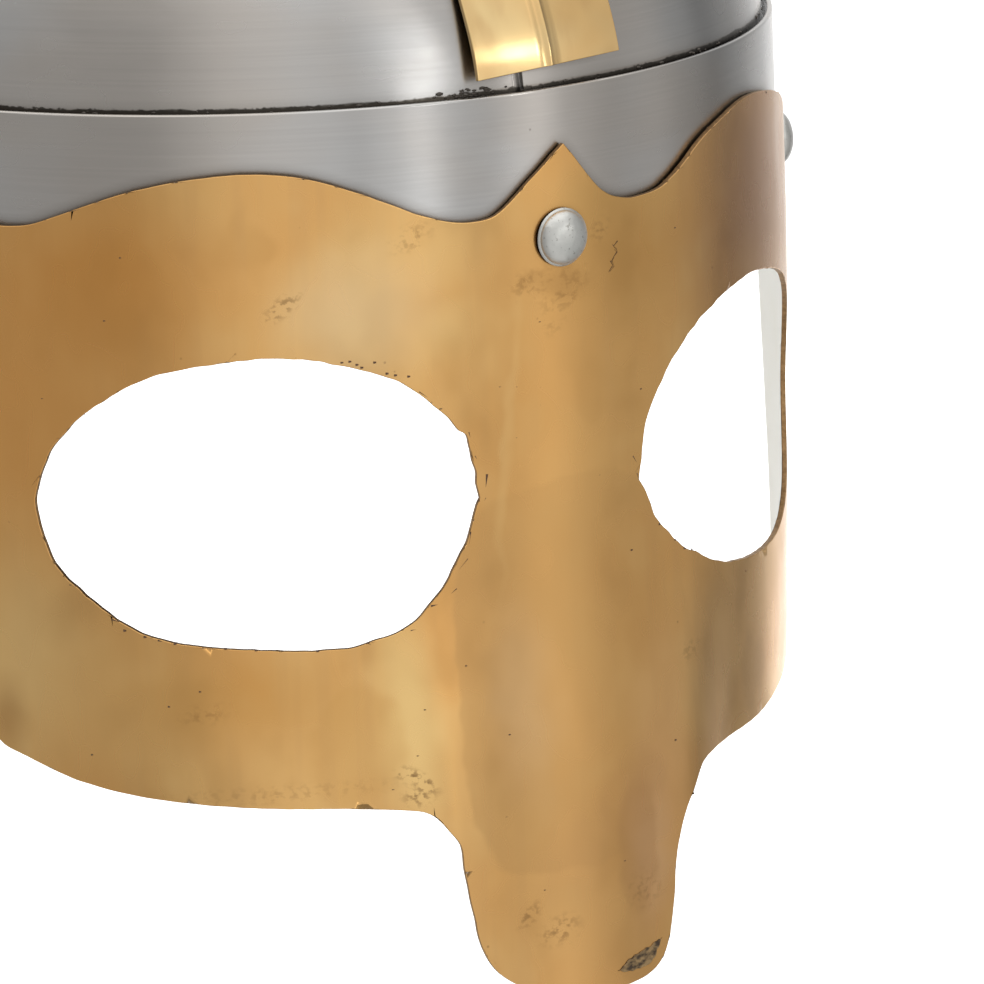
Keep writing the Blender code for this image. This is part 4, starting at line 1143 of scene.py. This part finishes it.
def make_disc(sheets, finishes):
    """Dished disc that caps the four strips."""
    radii = [DISC_RADIUS * i / DISC_RINGS for i in range(DISC_RINGS + 1)]
    upper = [(radius, disc_height(radius) + DISC_THICKNESS) for radius in radii]
    lower = [(radius, disc_height(radius)) for radius in reversed(radii)]
    bm = turned(upper + lower, DISC_SEGMENTS)
    for vertex in bm.verts:
        vertex.co.z -= DISC_DENTS * abs(stray(vertex.co, sheets, 2.0))
    body = add_piece(Piece("crown_disc_sheet", "brass", ["crown_disc"]), bm,
                     shared(strip_brass, finishes))
    round_corners(body, sheets.rounding)
    return body


def rivet_profile(kind, grip):
    """Domed head with a thin rim above 0, shank through the sheets, and a hammered tail."""
    shank = kind.shank_radius
    tail = shank * TAIL_TO_SHANK
    rim = RIM_SHARE * kind.head_height
    head = []
    for step in range(DOME_STEPS + 1):
        angle = math.pi / 2 * (1 - step / DOME_STEPS)
        dome = rim + (kind.head_height - rim) * math.sin(angle) ** 1.15
        head.append((DOME_REACH * kind.head_radius * math.cos(angle), dome))
    head += [(kind.head_radius * 0.965, rim * 0.85), (kind.head_radius, rim * 0.45),
             (kind.head_radius - rim * 0.3, 0.0)]
    foot = -grip - RIVET_TAIL_HEIGHT
    return head + [(shank, 0), (shank, -grip), (tail * 0.95, -grip),
                   (tail, -grip - RIVET_TAIL_HEIGHT * 0.35), (tail * 0.8, foot + 0.1 * MM),
                   (tail * 0.45, foot), (0.0, foot)]


def make_rivet(name, kind, seat, direction, grip, finishes):
    """Rivet with its head against the seat."""
    bm = turned(rivet_profile(kind, grip), kind.steps)
    turn = Quaternion(direction.to_track_quat("Z", "Y"))
    bmesh.ops.transform(bm, verts=bm.verts, matrix=Matrix.LocRotScale(seat, turn, None))
    return add_piece(Piece(f"{name}_head", "rivet", [name]), bm,
                     shared(rivet_aluminium, finishes), 35)


def facet_sag():
    """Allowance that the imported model's rivets make for the flat faces of its skull."""
    ring = SKULL_RISE * (1 - math.cos(math.pi / 4 / PACKED_DOME_RINGS))
    hoop = SKULL_HALF_DEPTH * (1 - math.cos(math.pi / PACKED_HOOP_SEGMENTS))
    return ring + hoop


def make_mask_rivets(finishes):
    """Three rivets that hold the mask to the band."""
    tail = MASK_RIVET.shank_radius * TAIL_TO_SHANK
    curve = tail ** 2 / (2 * BAND_HALF_WIDTH)
    grip = 3 * FIT_GAP + MASK_FACE + BAND_THICKNESS + curve
    places = {"front": FRONT_RIVET, "left": SIDE_RIVET, "right": (-SIDE_RIVET[0], SIDE_RIVET[1])}
    for name, (across, height) in places.items():
        face, direction = mask_axis(across, height)
        make_rivet(f"rivet_mask_{name}", MASK_RIVET, face + direction * FIT_GAP, direction,
                   grip, finishes)


def make_strip_rivets(finishes):
    """Pairs of rivets beside each ridge, and one through the disc at each strip's end."""
    offset = STRIP_WIDTH / 2 - SMALL_RIVET_FROM_EDGE
    tail = SMALL_RIVET.shank_radius * TAIL_TO_SHANK
    fall = offset * (offset / 2 + tail) / min(SKULL_HALF_WIDTH, SKULL_RISE)
    grip = 3 * FIT_GAP + STRIP_THICKNESS + SKULL_THICKNESS + fall + facet_sag()
    for side, (meridian, *_) in STRIPS.items():
        for row, share in enumerate(STRIP_RIVET_SHARES):
            distance = share * meridian.length
            normal = meridian.frame(distance)[2]
            for label, across in (("a", -offset), ("b", offset)):
                face = meridian.strip_point(across, distance, STRIP_THICKNESS)
                make_rivet(f"rivet_strip_{side}_{row + 1}{label}", SMALL_RIVET,
                           face + normal * FIT_GAP, normal, grip, finishes)
        inner_edge = CROWN_RIVET_FROM_AXIS - SMALL_RIVET.head_radius
        top = disc_height(inner_edge) + DISC_THICKNESS + FIT_GAP
        reach = CROWN_RIVET_FROM_AXIS + tail
        inner_span = meridian.half_span - SKULL_THICKNESS
        rise = SKULL_RISE - SKULL_THICKNESS
        under = EQUATOR + rise * math.sqrt(1 - (reach / inner_span) ** 2) - FIT_GAP - facet_sag()
        seat = meridian.outward * CROWN_RIVET_FROM_AXIS + Vector((0, 0, top))
        make_rivet(f"rivet_crown_{side}", SMALL_RIVET, seat, Vector((0, 0, 1)), top - under,
                   finishes)


def make_weld(studio):
    """Grains of weld scale along the seam between the band's edge and the skull."""
    draw = random.Random(studio.random_seed)
    bm = bmesh.new()
    for _ in range(WELD_GRAINS):
        angle = draw.uniform(-math.pi, math.pi)
        rise = draw.uniform(-0.4, 0.2) * MM
        if draw.random() < WELD_BLOT_SHARE:
            angle = draw.gauss(WELD_BLOT_AZIMUTH, WELD_BLOT_SPREAD)
            rise = draw.uniform(-0.3, 1.4) * MM
        size = abs(draw.gauss(0.26, 0.1)) * MM
        height = BAND_HEIGHT + rise + 0.4 * size
        spread = math.sqrt(1 - ((height - EQUATOR) / SKULL_RISE) ** 2)
        crumb = bmesh.ops.create_icosphere(bm, subdivisions=1, radius=size)
        stretch = (draw.uniform(1.0, 2.2), draw.uniform(0.5, 0.8), draw.uniform(0.5, 1.0))
        bmesh.ops.scale(bm, verts=crumb["verts"], vec=stretch)
        bmesh.ops.rotate(bm, verts=crumb["verts"], matrix=Matrix.Rotation(angle, 3, "Z"))
        place = Vector((SKULL_HALF_WIDTH * spread * math.sin(angle),
                        -SKULL_HALF_DEPTH * spread * math.cos(angle), height))
        bmesh.ops.translate(bm, verts=crumb["verts"], vec=place)
    return add_piece(Piece("weld_grains", "steel", []), bm, shared(weld_scale), 80)


def make_floor(studio):
    """Plain pale floor below the helmet, which is held up level."""
    bm = bmesh.new()
    bmesh.ops.create_circle(bm, cap_ends=True, segments=96, radius=studio.floor_radius)
    mesh = bpy.data.meshes.new("floor")
    bm.to_mesh(mesh)
    bm.free()
    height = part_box("face_mask")[0].z - studio.floor_drop
    mesh.transform(Matrix.Translation((0, 0, height)))
    # matt white paper roll
    paper, _, set_shader = new_material("white_paper", Metallic=0.0, Roughness=0.9)
    set_shader({"Base Color": opaque(studio.floor_colour)})
    mesh.materials.append(paper)
    floor = bpy.data.objects.new("floor", mesh)
    bpy.context.scene.collection.objects.link(floor)
    floor.visible_glossy = False


def make_tent(studio):
    """Light tent: soft light all round, its brightness set by azimuth and height."""
    world = bpy.data.worlds.new("light_tent")
    world.use_nodes = True
    bpy.context.scene.world = world
    add = partial(add_node, world.node_tree)
    direction = add("ShaderNodeTexCoord").outputs["Generated"]
    parts = add("ShaderNodeSeparateXYZ", {"Vector": direction})
    ahead = add("ShaderNodeMath", {0: parts.outputs["Y"], 1: -1.0}, operation="MULTIPLY")
    azimuth = add("ShaderNodeMath", {0: parts.outputs["X"], 1: ahead}, operation="ARCTAN2")
    share = add("ShaderNodeMapRange", {"Value": azimuth, "From Min": -math.pi,
                                       "From Max": math.pi})
    level = add("ShaderNodeValToRGB", {"Fac": share})
    level.color_ramp.interpolation = "EASE"
    stops = level.color_ramp.elements
    while len(stops) < len(TENT_LEVELS):
        stops.new(0.5)
    for stop, (angle, brightness) in zip(stops, TENT_LEVELS):
        stop.position = (angle + 180) / 360
        stop.color = opaque([brightness] * 3)
    start, full = TENT_ROOF
    roof = add("ShaderNodeMapRange", {"Value": parts.outputs["Z"], "From Min": start,
                                      "From Max": full}, interpolation_type="SMOOTHSTEP")
    colour = add("ShaderNodeMix", {MIX_SHARE: roof, MIX_FIRST: level.outputs["Color"],
                                   MIX_SECOND: opaque([studio.tent_top] * 3)}, data_type="RGBA")
    set_inputs(world.node_tree, world.node_tree.nodes["Background"], {"Color": colour})


def towards(azimuth, elevation):
    """Direction from the helmet at an azimuth and elevation in degrees."""
    turn, lift = math.radians(azimuth), math.radians(elevation)
    return Vector((math.sin(turn) * math.cos(lift), -math.cos(turn) * math.cos(lift),
                   math.sin(lift)))


def point_back(body, outward, lean):
    """Turn a light or camera to look against a direction, leaning by an angle in degrees."""
    body.rotation_mode = "QUATERNION"
    body.rotation_quaternion = (outward.to_track_quat("Z", "Y")
                                @ Quaternion((0, 0, 1), math.radians(lean)))


def add_softbox(name, box, power):
    """Area light that faces the helmet and isn't seen itself."""
    data = bpy.data.lights.new(name, "AREA")
    data.shape = "RECTANGLE"
    data.size = box.width
    data.size_y = box.height
    data.energy = power
    light = bpy.data.objects.new(name, data)
    bpy.context.scene.collection.objects.link(light)
    outward = towards(box.azimuth, box.elevation)
    light.location = outward * box.distance
    point_back(light, outward, box.lean)
    light.visible_camera = False
    return light


def make_lights(studio):
    """Softboxes before the face, and a light over the background."""
    add_softbox("key_softbox", KEY_SOFTBOX, studio.key_light)
    add_softbox("small_softbox", SMALL_SOFTBOX, studio.small_light)
    add_softbox("low_softbox", LOW_SOFTBOX, studio.low_light)
    overhead = add_softbox("floor_light", FLOOR_LIGHT, studio.floor_light)
    overhead.visible_glossy = False


def make_camera():
    """Camera at the photo's viewing angle."""
    data = bpy.data.cameras.new("camera")
    data.lens = CAMERA_LENS
    data.sensor_width = SENSOR_WIDTH
    data.clip_end = 100.0
    camera = bpy.data.objects.new("camera", data)
    bpy.context.scene.collection.objects.link(camera)
    camera.location = CAMERA_PLACE
    point_back(camera, towards(CAMERA_AZIMUTH, CAMERA_ELEVATION), CAMERA_ROLL)
    bpy.context.scene.camera = camera


class HELMET_OT_brow_band(bpy.types.Operator):
    """Make the brow band."""

    bl_idname = "helmet.brow_band"
    bl_label = "Brow Band"

    def execute(self, context):
        make_band(context.scene.helmet_sheets, context.scene.helmet_finishes)
        return {"FINISHED"}


class HELMET_OT_skull(bpy.types.Operator):
    """Make the four skull plates and the weld scale along their lower edge."""

    bl_idname = "helmet.skull"
    bl_label = "Skull Plates"

    def execute(self, context):
        scene = context.scene
        for name, side_x, side_y in (("front_left", 1, -1), ("front_right", -1, -1),
                                     ("back_left", 1, 1), ("back_right", -1, 1)):
            make_plate(name, side_x, side_y, scene.helmet_sheets, scene.helmet_finishes)
        make_weld(scene.helmet_studio)
        return {"FINISHED"}


class HELMET_OT_face_mask(bpy.types.Operator):
    """Make the spectacle mask with its nicks, scratch and flake."""

    bl_idname = "helmet.face_mask"
    bl_label = "Face Mask"

    def execute(self, context):
        make_mask(context.scene.helmet_sheets, context.scene.helmet_finishes)
        make_nicks()
        make_scratch(context.scene.helmet_studio)
        make_flake()
        return {"FINISHED"}


class HELMET_OT_strips(bpy.types.Operator):
    """Make the four strips and the crown disc."""

    bl_idname = "helmet.strips"
    bl_label = "Strips and Disc"

    def execute(self, context):
        scene = context.scene
        for side in STRIPS:
            make_strip(side, scene.helmet_sheets, scene.helmet_finishes)
        make_disc(scene.helmet_sheets, scene.helmet_finishes)
        return {"FINISHED"}


class HELMET_OT_rivets(bpy.types.Operator):
    """Make the rivets."""

    bl_idname = "helmet.rivets"
    bl_label = "Rivets"

    def execute(self, context):
        make_mask_rivets(context.scene.helmet_finishes)
        make_strip_rivets(context.scene.helmet_finishes)
        return {"FINISHED"}


class HELMET_OT_stage(bpy.types.Operator):
    """Make the floor, the light and the camera."""

    bl_idname = "helmet.stage"
    bl_label = "Stage"

    def execute(self, context):
        studio = context.scene.helmet_studio
        make_floor(studio)
        make_tent(studio)
        make_lights(studio)
        make_camera()
        context.scene.view_settings.view_transform = "Standard"
        return {"FINISHED"}


OPERATORS = (HELMET_OT_brow_band, HELMET_OT_skull, HELMET_OT_face_mask, HELMET_OT_strips,
             HELMET_OT_rivets, HELMET_OT_stage)
GROUPS = {"helmet_sheets": HelmetSheets, "helmet_finishes": HelmetFinishes,
          "helmet_studio": HelmetStudio}


class HELMET_PT_sidebar(bpy.types.Panel):
    """List of the helmet's pieces in the sidebar."""

    bl_idname = "HELMET_PT_sidebar"
    bl_label = "Spangenhelm Helmet"
    bl_space_type = "VIEW_3D"
    bl_region_type = "UI"
    bl_category = "Helmet"

    def draw(self, context):
        for operator in OPERATORS:
            self.layout.operator(operator.bl_idname)
        for name, group in GROUPS.items():
            settings = getattr(context.scene, name)
            box = self.layout.box()
            for field in group.__annotations__:
                box.prop(settings, field)


CLASSES = (*GROUPS.values(), *OPERATORS, HELMET_PT_sidebar)


def register():
    """Register the classes and hang the settings on the scene."""
    for cls in CLASSES:
        bpy.utils.register_class(cls)
    for name, group in GROUPS.items():
        setattr(bpy.types.Scene, name, PointerProperty(type=group))


def unregister():
    """Take the settings off the scene and unregister the classes."""
    for name in GROUPS:
        delattr(bpy.types.Scene, name)
    for cls in reversed(CLASSES):
        bpy.utils.unregister_class(cls)


def main():
    """Build the helmet and its stage."""
    register()
    bpy.ops.helmet.brow_band()
    bpy.ops.helmet.skull()
    bpy.ops.helmet.face_mask()
    bpy.ops.helmet.strips()
    bpy.ops.helmet.rivets()
    bpy.ops.helmet.stage()


if __name__ == "__main__":
    main()
